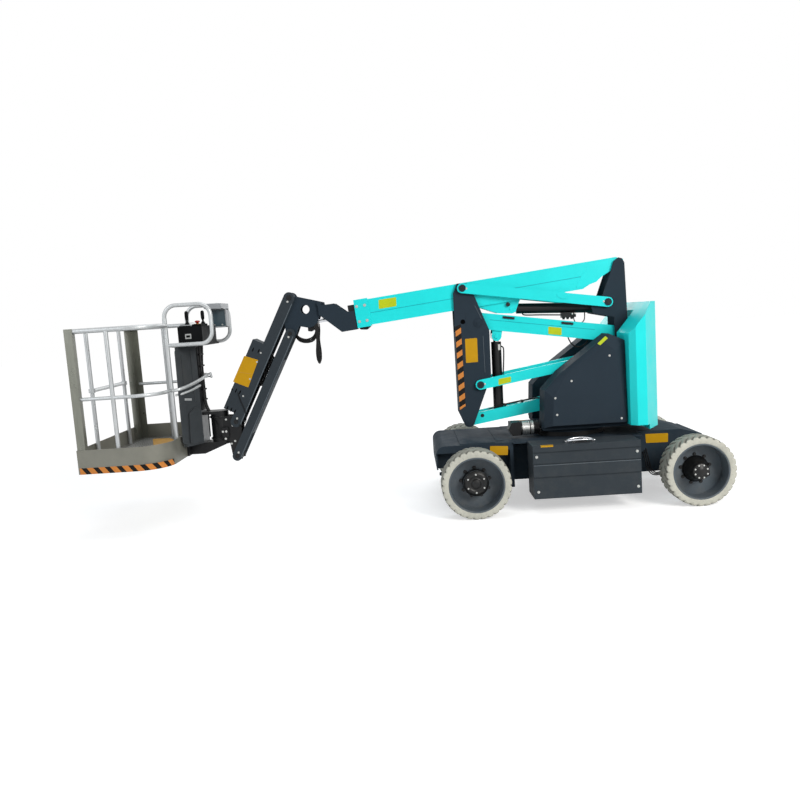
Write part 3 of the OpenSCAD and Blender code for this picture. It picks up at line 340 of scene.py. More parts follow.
def alloy(name, colour, rough=0.34, stretch=(3.0, 3.0, 60.0), swing=0.12, metal=0.82, shaded_plates=None):
    """Bare alloy with drawn streaks and dull patches. The last argument is a darker colour for the guard's
    corner plates: painted shade.
    """
    f = Finish(name, rough, metal)
    streak = f.noise(14.0, 4.0, 0.6, stretch)
    tint = f.ramp(streak, [(0.3, shade(colour, 1 - swing)), (0.72, shade(colour, 1 + swing))])
    # painted shade: the guard's corner plates beyond PLATE_Y take a darker copy of the alloy's streaks
    if shaded_plates:
        y = f.node("ShaderNodeSeparateXYZ", {0: f.place}).outputs["Y"]
        wide = f.math("GREATER_THAN", f.math("ABSOLUTE", y), PLATE_Y)
        plate_shade = f.ramp(streak, [(0.3, shade(shaded_plates, 0.92)), (0.72, shade(shaded_plates, 1.1))])
        tint = f.mix(wide, tint, plate_shade)
    f.set("Base Color", tint)
    f.set("Roughness", f.spread(f.noise(6.0, 5.0), rough * 0.75, rough * 1.35))
    f.bump(streak, 0.12, 0.0004)
    return f.material


def striped(name, dark, bright, pitch, share=0.5, along=None):
    """Slanted hazard stripes across a direction, or along the strip's own run."""
    f = Finish(name, 0.45, level=0.15)
    if along:
        run = f.node("ShaderNodeVectorMath", {0: f.place, 1: along}, operation="DOT_PRODUCT").outputs["Value"]
    else:
        run = f.node("ShaderNodeAttribute", attribute_name="run").outputs["Fac"]
    beat = f.math("FRACT", f.math("DIVIDE", run, pitch))
    band = f.math("LESS_THAN", beat, share)
    scuff = f.spread(f.noise(70.0, 5.0, 0.7), 0.0, 0.35, 0.58, 0.75)
    colour = f.mix(band, dark, f.ramp(f.noise(8.0), [(0.3, shade(bright, 0.9)), (0.7, shade(bright, 1.06))]))
    f.set("Base Color", f.mix(scuff, colour, SCUFF))
    f.set("Roughness", f.spread(f.noise(25.0), 0.34, 0.55))
    f.bump(f.noise(500.0), 0.2, 0.0002)
    return f.material


def bare_floor(name, colour):
    """Platform tray and deck: dulled alloy, darker and muddier on the floor's level faces."""
    f = Finish(name, 0.5, 0.4)
    z = f.node("ShaderNodeSeparateXYZ", {0: f.place}).outputs["Z"]
    up = f.node("ShaderNodeSeparateXYZ", {0: f.node("ShaderNodeNewGeometry").outputs["Normal"]}).outputs["Z"]
    mud = f.noise(7.0, 6.0, 0.7)
    tint = f.ramp(mud, [(0.35, shade(colour, 0.86)), (0.7, shade(colour, 1.06))])
    floor = f.math("MULTIPLY", f.math("GREATER_THAN", up, 0.9), f.math("LESS_THAN", z, FLOOR_BELOW))
    tread = f.ramp(mud, [(0.35, linear(84, 84, 80)), (0.7, linear(124, 122, 116))])
    f.set("Base Color", f.mix(floor, tint, tread))
    f.set("Roughness", f.spread(mud, 0.38, 0.62))
    f.bump(f.noise(320.0, 3.0), 0.25, 0.0003)
    return f.material


def mix_finishes(tints):
    """Makes every finish of the machine once."""
    turquoise, slate, tyre, sign, hazard = (
        getattr(tints, key)[:] + (1.0,) for key in ("turquoise", "slate", "tyre", "sign", "hazard"))
    FINISH.update(
        turquoise=painted("turquoise_gloss", turquoise, 0.36, coat=0.06, depth=0.0001, swing=0.05,
                          level=0.22),
        slate=painted("slate_texture", slate, 0.5, depth=0.0003, dust=0.06, patch=1.6, level=0.01),
        box=painted("box_grey", linear(57, 63, 68), 0.5, depth=0.0003, dust=0.06, patch=1.6, level=0.03),
        black=painted("black_satin", linear(16, 17, 19), 0.42, dust=0.08, level=0.25),
        hose=painted("black_hose", linear(14, 14, 15), 0.55, grain=1400.0, depth=0.0003, level=0.2),
        chrome=alloy("plated_rod", linear(206, 208, 212), 0.14, (30.0, 30.0, 30.0), 0.05),
        alloy=alloy("bright_tube", linear(192, 195, 196), 0.32, (6.0, 6.0, 0.8), 0.1, 0.45),
        # the guard's corner plates get the darker colour as painted shade
        plate=alloy("sheet_alloy", linear(192, 195, 196), 0.32, (6.0, 6.0, 0.5), 0.1, 0.45,
                    linear(126, 127, 117)),
        tray=bare_floor("floor_plate", linear(128, 127, 117)),
        zinc=alloy("zinc_bolt", linear(186, 187, 184), 0.3, (40.0, 40.0, 40.0), 0.1),
        moulded=painted("moulded_black", linear(18, 19, 21), 0.5, grain=600.0, depth=0.0004, level=0.06),
        panel=painted("moulded_grey", linear(62, 66, 69), 0.34, coat=0.08, grain=500.0, depth=0.0002,
                      swing=0.16, level=0.3),
        hood=painted("hood_grey_skin", linear(158, 161, 164), 0.4, depth=0.0002, level=0.3),
        # the darker colour is dirt and painted shade on the tread and in its grooves
        tyre=rubber("pale_compound", tyre, linear(84, 83, 77)),
        rim=painted("rim_paint", linear(84, 93, 100), 0.42, dust=0.2, depth=0.0003, level=0.3),
        hub=painted("hub_black", linear(17, 18, 19), 0.36, dust=0.06, level=0.3),
        sign=painted("sign_yellow", sign, 0.42, patch=14.0, swing=0.06, level=0.2),
        lime=painted("sign_lime", linear(192, 206, 30), 0.42, patch=14.0, swing=0.06, level=0.2),
        ochre=painted("floor_mark", linear(190, 140, 46), 0.6, patch=20.0, swing=0.15),
        red=painted("stop_red", linear(176, 28, 24), 0.36, coat=0.1),
        label=painted("label_grey", linear(190, 192, 190), 0.45, patch=30.0),
        # painted shade: the window's dark blue-grey stands for the shade inside the console hood
        window=painted("window_painted_shade", linear(64, 80, 88), 0.2, coat=0.1, depth=0.00005, level=0.3),
        # painted shadow: near black standing for the shade inside the vent slots and the upright's plug hole;
        # the console's switches use it too
        slot=painted("slot_shadow", linear(5, 5, 6), 0.9, level=0.04),
        edge_stripe=striped("edge_stripes", linear(14, 13, 13), hazard, 0.0945, 0.5, (-0.62, 0.0, 1.0)),
        toe_stripe=striped("toe_stripes", linear(16, 15, 14), hazard, 0.094, 0.55),
        seam=painted("seam_shadow", linear(22, 172, 182), 0.45, level=0.2),
    )


NODE_FINISH = {
    "turquoise": "lower_arm lower_links upper_arm upper_links outer_boom boom_collar counterweight",
    "box": "battery_box_left battery_box_right jib_arm jib_cover jib_link",
    "slate": ("chassis_frame front_hood rear_deck turntable_frame cover_left "
              "cover_right front_upright rear_mast gooseneck jib_knuckle tie_down_lugs"),
    "black": ("front_axle rear_axle knuckle_left knuckle_right slew_ring slew_drive riser_barrel lift_barrel "
              "platform_carrier platform_support inner_boom"),
    "chrome": "riser_rod lift_rod level_rod",
    "alloy": "gate_bar guard_left guard_right",
    "plate": "front_guard",
    "tray": "platform_tray",
    "panel": "console_panel",
    "moulded": "console",
    "hood": "console_hood",
    "rim": "rim_front_left rim_front_right rim_rear_left rim_rear_right",
    "tyre": "tyre_front_left tyre_front_right tyre_rear_left tyre_rear_right",
}


# Repeats
def cones(*rings):
    """A form of stacked cones. Each has its sides, its radius at foot and head, and its height, as shares."""
    def make(tree, start):
        add, link = tree.nodes.new, tree.links.new
        join = add("GeometryNodeJoinGeometry")
        for sides, foot, head, rise in rings:
            cone = add("GeometryNodeMeshCone")
            cone.inputs["Vertices"].default_value = sides
            for socket, source, share in (("Radius Bottom", "Size", foot), ("Radius Top", "Size", head),
                                          ("Depth", "Height", rise)):
                scale = add("ShaderNodeMath")
                scale.operation = "MULTIPLY"
                scale.inputs[1].default_value = share
                link(start.outputs[source], scale.inputs[0])
                link(scale.outputs[0], cone.inputs[socket])
            link(cone.outputs["Mesh"], join.inputs["Geometry"])
        return join.outputs["Geometry"]
    return make


BOLT = cones((6, 0.5, 0.46, 1.0), (16, 0.74, 0.7, 0.3))  # hexagon head on a thin washer
CAP = cones((28, 1.0, 0.95, 0.5), (28, 0.74, 0.68, 1.0), (6, 0.3, 0.28, 1.7))  # collar, cap, centre bolt
PATCH = cones((12, 1.0, 1.0, 1.0))  # thin and round, drawn out by its point's scale


def repeat_tree(name, make):
    """A node tree that sets one small form on every point, turned and scaled by the point's own values."""
    tree = bpy.data.node_groups.new(name, "GeometryNodeTree")
    for label, way, kind in (("Points", "INPUT", "Geometry"), ("Size", "INPUT", "Float"),
                             ("Height", "INPUT", "Float"), ("Finish", "INPUT", "Material"),
                             ("Pieces", "OUTPUT", "Geometry")):
        tree.interface.new_socket(label, in_out=way, socket_type="NodeSocket" + kind)
    add, link = tree.nodes.new, tree.links.new
    start, end = add("NodeGroupInput"), add("NodeGroupOutput")

    def of_point(label):
        node = add("GeometryNodeInputNamedAttribute")
        node.data_type = "FLOAT_VECTOR"
        node.inputs["Name"].default_value = label
        return node.outputs["Attribute"]

    spin = add("FunctionNodeEulerToRotation")
    link(of_point("turn"), spin.inputs["Euler"])
    put = add("GeometryNodeInstanceOnPoints")
    link(start.outputs["Points"], put.inputs["Points"])
    link(make(tree, start), put.inputs["Instance"])
    link(spin.outputs["Rotation"], put.inputs["Rotation"])
    link(of_point("size"), put.inputs["Scale"])
    real = add("GeometryNodeRealizeInstances")
    link(put.outputs["Instances"], real.inputs["Geometry"])
    finish = add("GeometryNodeSetMaterial")
    link(real.outputs["Geometry"], finish.inputs["Geometry"])
    link(start.outputs["Finish"], finish.inputs["Material"])
    link(finish.outputs["Geometry"], end.inputs["Pieces"])
    return tree


def repeat(name, body, tree, points, size, height, finish):
    """Sets the tree's form on points, each (place, aim, scale), as one plain mesh on a body."""
    mesh = bpy.data.meshes.new(name + "_points")
    mesh.from_pydata([p[0] for p in points], [], [])
    turn = mesh.attributes.new("turn", "FLOAT_VECTOR", "POINT")
    scale = mesh.attributes.new("size", "FLOAT_VECTOR", "POINT")
    for k, (_, aim, factor) in enumerate(points):
        if not isinstance(aim, Matrix):
            aim = Vector(aim).to_track_quat("Z", "Y")
        turn.data[k].vector = aim.to_euler()
        scale.data[k].vector = factor if isinstance(factor, tuple) else (factor,) * 3
    seed = bpy.data.objects.new(name + "_seed", mesh)
    bpy.context.scene.collection.objects.link(seed)
    step = seed.modifiers.new("repeat", "NODES")
    step.node_group = tree
    values = {"Size": size, "Height": height, "Finish": FINISH[finish]}
    for item in tree.interface.items_tree:
        if item.name in values:
            step[item.identifier] = values[item.name]
    dg = bpy.context.evaluated_depsgraph_get()
    made = bpy.data.meshes.new_from_object(seed.evaluated_get(dg), depsgraph=dg)
    bpy.data.objects.remove(seed)
    made.name = name
    if not made.materials:
        made.materials.append(FINISH[finish])
    piece = bpy.data.objects.new(name, made)
    bpy.context.scene.collection.objects.link(piece)
    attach(piece, body)


def screws(places, y, sides=(-1, 1), scale=1.0):
    """Points for a repeat at (x, z) on the machine's sides, aimed outwards."""
    return [((x, side * y, z), (0, side, 0), scale) for side in sides for x, z in places]


def bolt_circle(centre, radius, count, side, start):
    """Points for a repeat round a wheel's axle, aimed outwards, the first at that share of a step."""
    turns = [2 * math.pi * (k + start) / count for k in range(count)]
    return [((centre.x + radius * math.cos(a), centre.y, centre.z + radius * math.sin(a)), (0, side, 0), 1.0)
            for a in turns]


# Values
class BoomLiftTints(bpy.types.PropertyGroup):
    """Colours a user may change."""
    turquoise: bpy.props.FloatVectorProperty(
        name="Turquoise", description="Paint of the arms, boom and counterweight", subtype="COLOR",
        min=0, max=1, default=linear(30, 228, 228)[:3])
    slate: bpy.props.FloatVectorProperty(
        name="Slate", description="Textured paint of the chassis, covers and upright", subtype="COLOR",
        min=0, max=1, default=linear(48, 58, 67)[:3])
    tyre: bpy.props.FloatVectorProperty(
        name="Tyre", description="Pale compound of the solid tyres", subtype="COLOR", min=0, max=1,
        default=linear(196, 195, 183)[:3])
    sign: bpy.props.FloatVectorProperty(
        name="Sign", description="Ground of the blank signs", subtype="COLOR", min=0, max=1,
        default=linear(198, 148, 14)[:3])
    hazard: bpy.props.FloatVectorProperty(
        name="Hazard", description="Bright bands of the hazard strips", subtype="COLOR", min=0, max=1,
        default=linear(214, 136, 66)[:3])


class BoomLiftSizes(bpy.types.PropertyGroup):
    """Sizes a user may change."""
    lugs: bpy.props.IntProperty(
        name="Lugs", description="Shoulder lugs round each tyre", default=30, min=16, max=48)
    groove: bpy.props.FloatProperty(
        name="Groove depth", description="Depth of the tread grooves", default=0.01, unit="LENGTH")
    wheel_bolt_ring: bpy.props.FloatProperty(
        name="Bolt ring", description="Diameter of the ring of wheel bolts", default=0.235, unit="LENGTH")
    sign_sheet: bpy.props.FloatProperty(
        name="Sign sheet", description="Thickness of the blank sign plates", default=0.0012, unit="LENGTH")
    strip: bpy.props.FloatProperty(
        name="Hazard strip", description="Height of the toe board's hazard strip", default=0.052,
        unit="LENGTH")
    deck: bpy.props.FloatProperty(
        name="Deck height", description="Top of the grip deck above the foot of the toe board", default=0.065,
        unit="LENGTH")


def sizes():
    return bpy.context.scene.boom_lift_sizes


# Stage
CAMERA_PLACE = (0.0832, -6.3347, 1.6593)
YAW, PITCH, ROLL = -0.0162, 0.1172, -0.0651  # the photograph's viewing angle in radians
SENSOR, LENS, SIGHT = 36, 32.4, 200
AIM = Vector((0, 0, 0.9))  # what the lamps point at
LAMPS = (  # name, place, size, power, colour
    ("key", (5.2, -6.5, 4.6), 3.2, 470, (1.0, 0.975, 0.94)),
    ("fill", (-6.0, -5.0, 3.4), 4.0, 120, (0.92, 0.96, 1.0)),
    ("top", (0.0, 0.5, 6.5), 5.0, 110, (0.95, 0.98, 1.0)),
    ("back", (1.5, 6.5, 4.0), 4.0, 90, (1.0, 1.0, 1.0)),
)
WHITE = (1, 1, 1, 1)
SKY, SKY_STRENGTH = (0.93, 0.96, 1.0, 1), 0.36
FLOOR_HALF = 40
FADE_START, FADE_END = 3.2, 7.0  # distance over which the floor goes over to plain white


class BOOMLIFT_OT_stage(bpy.types.Operator):
    """Camera at the photograph's place, pale floor and soft studio light"""
    bl_idname = "boomlift.stage"
    bl_label = "Studio and camera"

    def execute(self, context):
        put = context.scene.collection.objects.link
        ahead = Vector((math.sin(YAW) * math.cos(PITCH), math.cos(YAW) * math.cos(PITCH), -math.sin(PITCH)))
        right = Vector((math.cos(YAW), -math.sin(YAW), 0))
        up = right.cross(ahead)
        across = right * math.cos(ROLL) + up * math.sin(ROLL)
        above = up * math.cos(ROLL) - right * math.sin(ROLL)
        lens = bpy.data.cameras.new("camera")
        lens.sensor_width = SENSOR
        lens.lens = LENS
        lens.clip_end = SIGHT
        camera = bpy.data.objects.new("camera", lens)
        camera.matrix_world = Matrix.Translation(CAMERA_PLACE) @ Matrix(
            (across, above, -ahead)).transposed().to_4x4()
        put(camera)
        context.scene.camera = camera
        context.scene.view_settings.view_transform = "Standard"

        for name, place, size, power, colour in LAMPS:
            lamp = bpy.data.lights.new(name, "AREA")
            lamp.size = size
            lamp.energy = power
            lamp.color = colour
            holder = bpy.data.objects.new(name, lamp)
            turn = (AIM - Vector(place)).to_track_quat("-Z", "Y").to_matrix().to_4x4()
            holder.matrix_world = Matrix.Translation(place) @ turn
            put(holder)

        world = bpy.data.worlds.new("studio")
        world.use_nodes = True
        context.scene.world = world
        tree = world.node_tree
        ground = tree.nodes["Background"]
        ground.inputs["Color"].default_value = SKY
        ground.inputs["Strength"].default_value = SKY_STRENGTH
        clear = tree.nodes.new("ShaderNodeBackground")
        clear.inputs["Color"].default_value = WHITE
        swap = tree.nodes.new("ShaderNodeMixShader")
        tree.links.new(self.seen(tree), swap.inputs[0])
        tree.links.new(ground.outputs[0], swap.inputs[1])
        tree.links.new(clear.outputs[0], swap.inputs[2])
        tree.links.new(swap.outputs[0], tree.nodes["World Output"].inputs["Surface"])

        mesh = bpy.data.meshes.new("floor")
        corners = ((-1, -1), (1, -1), (1, 1), (-1, 1))
        mesh.from_pydata([(x * FLOOR_HALF, y * FLOOR_HALF, 0) for x, y in corners], [], [(0, 1, 2, 3)])
        floor = bpy.data.objects.new("floor", mesh)
        put(floor)
        f = Finish("pale_floor", 0.9, level=0.1)
        far = f.node("ShaderNodeVectorMath", {0: f.place}, operation="LENGTH").outputs["Value"]
        away = f.spread(far, 0, 1, FADE_START, FADE_END)
        near = f.ramp(f.noise(0.6, 3.0), [(0.3, (0.8, 0.8, 0.8, 1)), (0.7, (0.83, 0.83, 0.83, 1))])
        f.set("Base Color", f.mix(away, near, (0.02, 0.02, 0.02, 1)))
        f.shader.inputs["Emission Color"].default_value = WHITE
        f.set("Emission Strength", f.math("MULTIPLY", self.seen(f.tree), f.spread(away, 0.5, 1.0, 0, 1)))
        mesh.materials.append(f.material)
        return {"FINISHED"}

    def seen(self, tree):
        """One for rays that show the ground itself, to the eye or in gloss and glass."""
        path = tree.nodes.new("ShaderNodeLightPath")
        total = path.outputs["Is Camera Ray"]
        for name in ("Is Glossy Ray", "Is Transmission Ray"):
            add = tree.nodes.new("ShaderNodeMath")
            add.operation = "ADD"
            add.use_clamp = True
            tree.links.new(total, add.inputs[0])
            tree.links.new(path.outputs[name], add.inputs[1])
            total = add.outputs[0]
        return total


# Hoses
NOSE_X, NOSE_TOP = -0.704, 1.63
# each loop's shift along the boom and the height of its lowest point
NOSE_LOOPS = ((-0.012, 1.306), (-0.006, 1.29), (0.0, 1.284), (0.006, 1.292), (0.012, 1.308))


def hose(name, body, points, diameter, count=28, bend=None):
    """A free hose along a soft line, both ends in the machine. Given bend, the hose is left as a plain mesh
    on no body; the names and points in bend are not used.
    """
    path = smooth_path(points, count)
    curve = bpy.data.curves.new(name, "CURVE")
    curve.dimensions = "3D"
    curve.bevel_depth = diameter / 2
    curve.bevel_resolution = 3
    curve.use_fill_caps = True
    line = curve.splines.new("POLY")
    line.points.add(len(path) - 1)
    for spot, p in zip(line.points, path):
        spot.co = (*p, 1)
    curve.materials.append(FINISH["hose"])
    piece = bpy.data.objects.new(name, curve)
    bpy.context.scene.collection.objects.link(piece)
    if bend:
        bpy.context.view_layer.update()
        tube = bpy.data.meshes.new_from_object(piece)
        bpy.data.objects.remove(piece)
        bpy.data.curves.remove(curve)
        piece = bpy.data.objects.new(name, tube)
        bpy.context.scene.collection.objects.link(piece)
        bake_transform(piece)
    else:
        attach(piece, body)


class BOOMLIFT_OT_hoses(bpy.types.Operator):
    """Hanging hoses at the boom's nose and the cables of the platform, jib and drive"""
    bl_idname = "boomlift.hoses"
    bl_label = "Hoses and cables"

    def execute(self, context):
        mix_finishes(context.scene.boom_lift_tints)
        for k, (off, low) in enumerate(NOSE_LOOPS):
            x = NOSE_X + off
            near, far = -0.7 + 0.8 * off, -0.702 + 0.3 * off
            leg = [(near, 0.061, NOSE_TOP), (near, 0.064, 1.57), (far, 0.065, 1.49), (x, 0.065, low + 0.084),
                   (x, 0.056, low + 0.033), (x, 0.033, low + 0.009)]
            hose("nose_hose_%d" % (k + 1), "inner_boom",
                 [(a, -b, c) for a, b, c in leg] + [(x, 0.0, low)] + leg[::-1], 0.0125, count=39,
                 bend=("jib_knuckle", (x, 0.0, 1.6), (x, 0.0, 1.08)))
        for k, drop in enumerate((0.0, 0.013, 0.026)):
            y = -0.01 + 0.01 * k
            hose("link_hose_%d" % (k + 1), "jib_knuckle",
                 [(-0.9 - 0.4 * drop, y, 1.596), (-0.896 - 0.5 * drop, y, 1.56),
                  (-0.862 - 0.3 * drop, y, 1.52 - drop), (-0.805, y, 1.5 - drop),
                  (-0.748 + 0.3 * drop, y, 1.516 - drop), (-0.718 + 0.4 * drop, y, 1.556),
                  (-0.713 + 0.4 * drop, y, 1.612)], 0.0145, count=24,
                 bend=("inner_boom", (-0.89, 0.0, 1.55), (-0.73, 0.0, 1.55)))
        hose("cover_cable", "jib_arm",
             [(-1.428, -0.086, 1.084), (-1.424, -0.0935, 1.06), (-1.408, -0.094, 1.0),
              (-1.384, -0.0945, 0.93), (-1.372, -0.095, 0.87), (-1.382, -0.0955, 0.815),
              (-1.416, -0.0945, 0.79), (-1.448, -0.0875, 0.792)], 0.006, count=30)
        for k, (y0, y1) in enumerate(((0.045, -0.012), (-0.06, -0.036), (0.01, 0.018))):
            hose("panel_cable_%d" % (k + 1), "platform",
                 [(-1.738, y0, 1.513), (-1.74, y0, 1.47), (-1.743, 0.6 * y0 + 0.4 * y1, 1.36),
                  (-1.744, 0.3 * y0 + 0.7 * y1, 1.24), (-1.744, y1, 1.12), (-1.742, y1, 1.01),
                  (-1.73, y1, 0.955), (-1.716, y1, 0.922)], 0.0125, count=32)
        for k, shift in enumerate((0.0, 0.016, 0.032)):
            hose("drive_hose_%d" % (k + 1), "chassis",
                 [(2.016 + shift, -0.276, 0.372 + shift), (2.018 + shift, -0.306, 0.352),
                  (2.024 + shift, -0.334, 0.294), (2.036 + shift, -0.344, 0.236),
                  (2.072 + 0.8 * shift, -0.348, 0.19 + 0.5 * shift), (2.13, -0.348, 0.182 + 0.7 * shift),
                  (2.196, -0.344, 0.206 + 0.8 * shift), (2.252, -0.335, 0.25 + shift)], 0.0095, count=30)
        hose("valve_loop", "lift_barrel",
             [(1.532, -0.03, 1.576), (1.533, -0.032, 1.528), (1.546, -0.034, 1.5), (1.578, -0.034, 1.487),
              (1.61, -0.034, 1.5), (1.626, -0.032, 1.532), (1.628, -0.026, 1.592)], 0.009, count=26)
        hose("arm_loop", "upper_arm",
             [(1.47, -0.05, 1.392), (1.48, -0.052, 1.352), (1.51, -0.054, 1.306), (1.56, -0.054, 1.284),
              (1.61, -0.054, 1.3), (1.638, -0.052, 1.33), (1.648, -0.05, 1.362)], 0.012, count=26)
        for k, (y, z) in enumerate(((-0.112, 0.846), (-0.118, 0.826))):
            hose("rotator_hose_%d" % (k + 1), "platform_carrier",
                 [(-1.65, -0.068, z), (-1.648, -0.092, z - 0.004), (-1.64, y, z - 0.034),
                  (-1.63, y - 0.004, z - 0.08), (-1.622, y - 0.002, z - 0.12), (-1.606, -0.098, z - 0.15),
                  (-1.59, -0.07, z - 0.158)], 0.0075, count=24)
        return {"FINISHED"}


# Running gear
WHEELS = ("front_left", "front_right", "rear_left", "rear_right")
LUG_SLANT, LUG_GAP, LUG_EASE, LUG_STEPS = 1.15, 0.4, 0.14, 12
DISC_DEPTH = 0.139  # the wheel disc behind the rim's outer edge
RIM_BEAD = [(0.2235, -0.002), (0.2235, 0.0), (0.2205, 0.001), (0.2175, -0.002), (0.216, -0.01),
            (0.2145, -0.018), (0.2125, -0.018), (0.2125, -0.002), (0.2235, -0.002)]
HUBS = {  # profile of the hub cap, number of screws, radius of their circle, how far out they sit
    "rear": ([(0.1065, -0.001), (0.1065, 0.012), (0.1015, 0.015), (0.0985, 0.024), (0.0945, 0.034),
              (0.0855, 0.058), (0.0795, 0.075), (0.0775, 0.084), (0.0675, 0.108), (0.065, 0.113),
              (0.065, 0.126), (0.0615, 0.1305), (0.042, 0.131), (0.04, 0.1345), (0.0, 0.135)],
             8, 0.052, 0.1305),
    "front": ([(0.1065, -0.001), (0.1065, 0.06), (0.104, 0.0705), (0.09, 0.072), (0.088, 0.076),
               (0.06, 0.077), (0.058, 0.074), (0.038, 0.0735), (0.036, 0.086), (0.031, 0.09),
               (0.0, 0.091)], 6, 0.074, 0.0765),
}


class BOOMLIFT_OT_tyres(bpy.types.Operator):
    """Solid tyres with slanted shoulder lugs"""
    bl_idname = "boomlift.tyres"
    bl_label = "Tyres"

    def execute(self, context):
        lugs, depth = sizes().lugs, sizes().groove
        for name in WHEELS:
            low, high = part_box("tyre_" + name)
            centre = (low + high) / 2
            half = (high.y - low.y) / 2
            outer = (high.z - low.z) / 2
            inner = (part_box("rim_" + name)[1].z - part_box("rim_" + name)[0].z) / 2
            # radius, share of the half width, share of the groove's depth
            rows = [(inner, 0.93, 0), (inner + 0.006, 0.965, 0), (inner + 0.016, 0.985, 0),
                    (inner + 0.026, 0.995, 0), (outer - 0.021, 1.0, 0.45), (outer - 0.012, 0.985, 1),
                    (outer - 0.0045, 0.93, 1), (outer - 0.001, 0.86, 1)]
            rows += [(outer, share, deep) for share, deep in (
                (0.74, 1), (0.6, 1), (0.46, 1), (0.32, 1), (0.22, 0.6), (0.14, 0), (0.05, 0))]
            profile = [(r, s * half) for r, s, _ in rows] + [(r, -s * half) for r, s, _ in reversed(rows)]
            cut = [g for _, _, g in rows] + [g for _, _, g in reversed(rows)]
            profile.append(profile[0])
            cut.append(cut[0])

            def groove(turn, n, radius, height):
                beat = turn * lugs / (2 * math.pi) + (0.5 if height < 0 else 0.0)
                beat += LUG_SLANT * abs(height) / half
                off = abs(beat - math.floor(beat) - 0.5) * 2
                share = min(1.0, max(0.0, (LUG_GAP - off) / LUG_EASE))
                return radius - depth * cut[n] * share * share * (3 - 2 * share), height

            stock = Stock()
            stock.spin(profile, centre, (0, 1, 0), sides=lugs * LUG_STEPS, smooth=False, shift=groove)
            tyre = stock.done("tread_" + name, "wheel_" + name, "tyre")
            # dirt and painted shade: the tread face is darkened by 0.55, and the grooves most of all, by
            # their depth
            shade_and_dirt = tyre.data.attributes.new("groove", "FLOAT", "POINT")
            for k, v in enumerate(tyre.data.vertices):
                r = math.hypot(v.co.x - centre.x, v.co.z - centre.z)
                y = abs(v.co.y - centre.y) / half
                sunk = (outer - r) / depth if y < 0.9 else 0.0
                face = 0.55 if y < 0.88 and r > inner + 0.03 else 0.0
                shade_and_dirt.data[k].value = max(face, 0.95 * min(1.0, max(0.0, sunk)))
            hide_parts("tyre_" + name)
        return {"FINISHED"}


class BOOMLIFT_OT_wheels(bpy.types.Operator):
    """Hub caps, rim beads and wheel bolts"""
    bl_idname = "boomlift.wheels"
    bl_label = "Wheel trim"

    def execute(self, context):
        bolts = repeat_tree("bolt_heads", BOLT)
        for name in WHEELS:
            low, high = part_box("rim_" + name)
            centre = (low + high) / 2
            side = 1 if name.endswith("right") else -1
            face = high.y if side > 0 else low.y
            disc = Vector((centre.x, face - side * DISC_DEPTH, centre.z))
            hub, caps, radius, reach = HUBS[name.split("_")[0]]
            stock = Stock()
            stock.spin(RIM_BEAD, (centre.x, face, centre.z), (0, side, 0), 0, 72)
            stock.spin(hub, disc, (0, side, 0), 1, 64)
            stock.done("wheel_trim_" + name, "wheel_" + name, "rim hub")
            points = bolt_circle(disc, sizes().wheel_bolt_ring / 2, 9, side, 0.3)
            repeat("wheel_bolts_" + name, "wheel_" + name, bolts, points, 0.021, 0.013, "hub")
            points = bolt_circle(disc + Vector((0, side * reach, 0)), radius, caps, side, 0.5)
            repeat("hub_screws_" + name, "wheel_" + name, bolts, points, 0.01, 0.006, "zinc")
        return {"FINISHED"}


# Paint
class BOOMLIFT_OT_paint(bpy.types.Operator):
    """Gives every solid of the machine its finish"""
    bl_idname = "boomlift.paint"
    bl_label = "Paint the solids"

    def execute(self, context):
        left = set(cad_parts)
        for finish, names in NODE_FINISH.items():
            for name in names.split():
                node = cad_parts[name]
                node.data.materials.clear()
                node.data.materials.append(FINISH[finish])
                left.discard(name)
        if left:
            raise RuntimeError("no finish for " + ", ".join(sorted(left)))
        return {"FINISHED"}


# Signs
SIGNS = (  # name, body, finish, y, corners (x, z)
    ("upright_sign", "front_upright", "sign", -0.1105,
     ((0.575, 1.419), (0.679, 1.421), (0.677, 1.214), (0.573, 1.212))),
    ("jib_sign", "jib_arm", "sign", -0.0897,
     ((-1.344, 1.396), (-1.225, 1.352), (-1.333, 1.118), (-1.462, 1.177))),
    ("boom_sign", "main_boom", "lime", -0.0853,
     ((-0.147, 1.8), (0.005, 1.815), (0.005, 1.738), (-0.148, 1.723))),
    ("link_sign", "lower_links", "lime", -0.1423,
     ((0.842, 1.058), (0.95, 1.073), (0.948, 1.025), (0.84, 1.006))),
    ("arm_sign", "upper_arm", "lime", -0.0803,
     ((1.3, 1.478), (1.415, 1.46), (1.411, 1.396), (1.297, 1.414))),
    ("hood_sign", "chassis", "sign", -0.4203,
     ((0.71, 0.53), (0.86, 0.521), (0.856, 0.445), (0.707, 0.454))),
    ("rear_sign", "chassis", "sign", -0.2803,
     ((2.043, 0.524), (2.237, 0.52), (2.235, 0.443), (2.049, 0.446))),
)


class BOOMLIFT_OT_signs(bpy.types.Operator):
    """Blank yellow plates where the machine carries its signs"""
    bl_idname = "boomlift.signs"
    bl_label = "Blank signs"

    def execute(self, context):
        for name, body, finish, y, corners in SIGNS:
            stock = Stock()
            stock.prism(rounded(on_side(corners, y), 0.006), (0, -sizes().sign_sheet, 0), 0, 0.0004, 1)
            stock.done(name, body, finish)
        return {"FINISHED"}


# Hazard strips
TOE_RADIUS, TOE_STEPS = 0.235, 18  # the toe board's rear corners
TOE_GAP = 0.0003
STRIPE_LEAN = 0.75


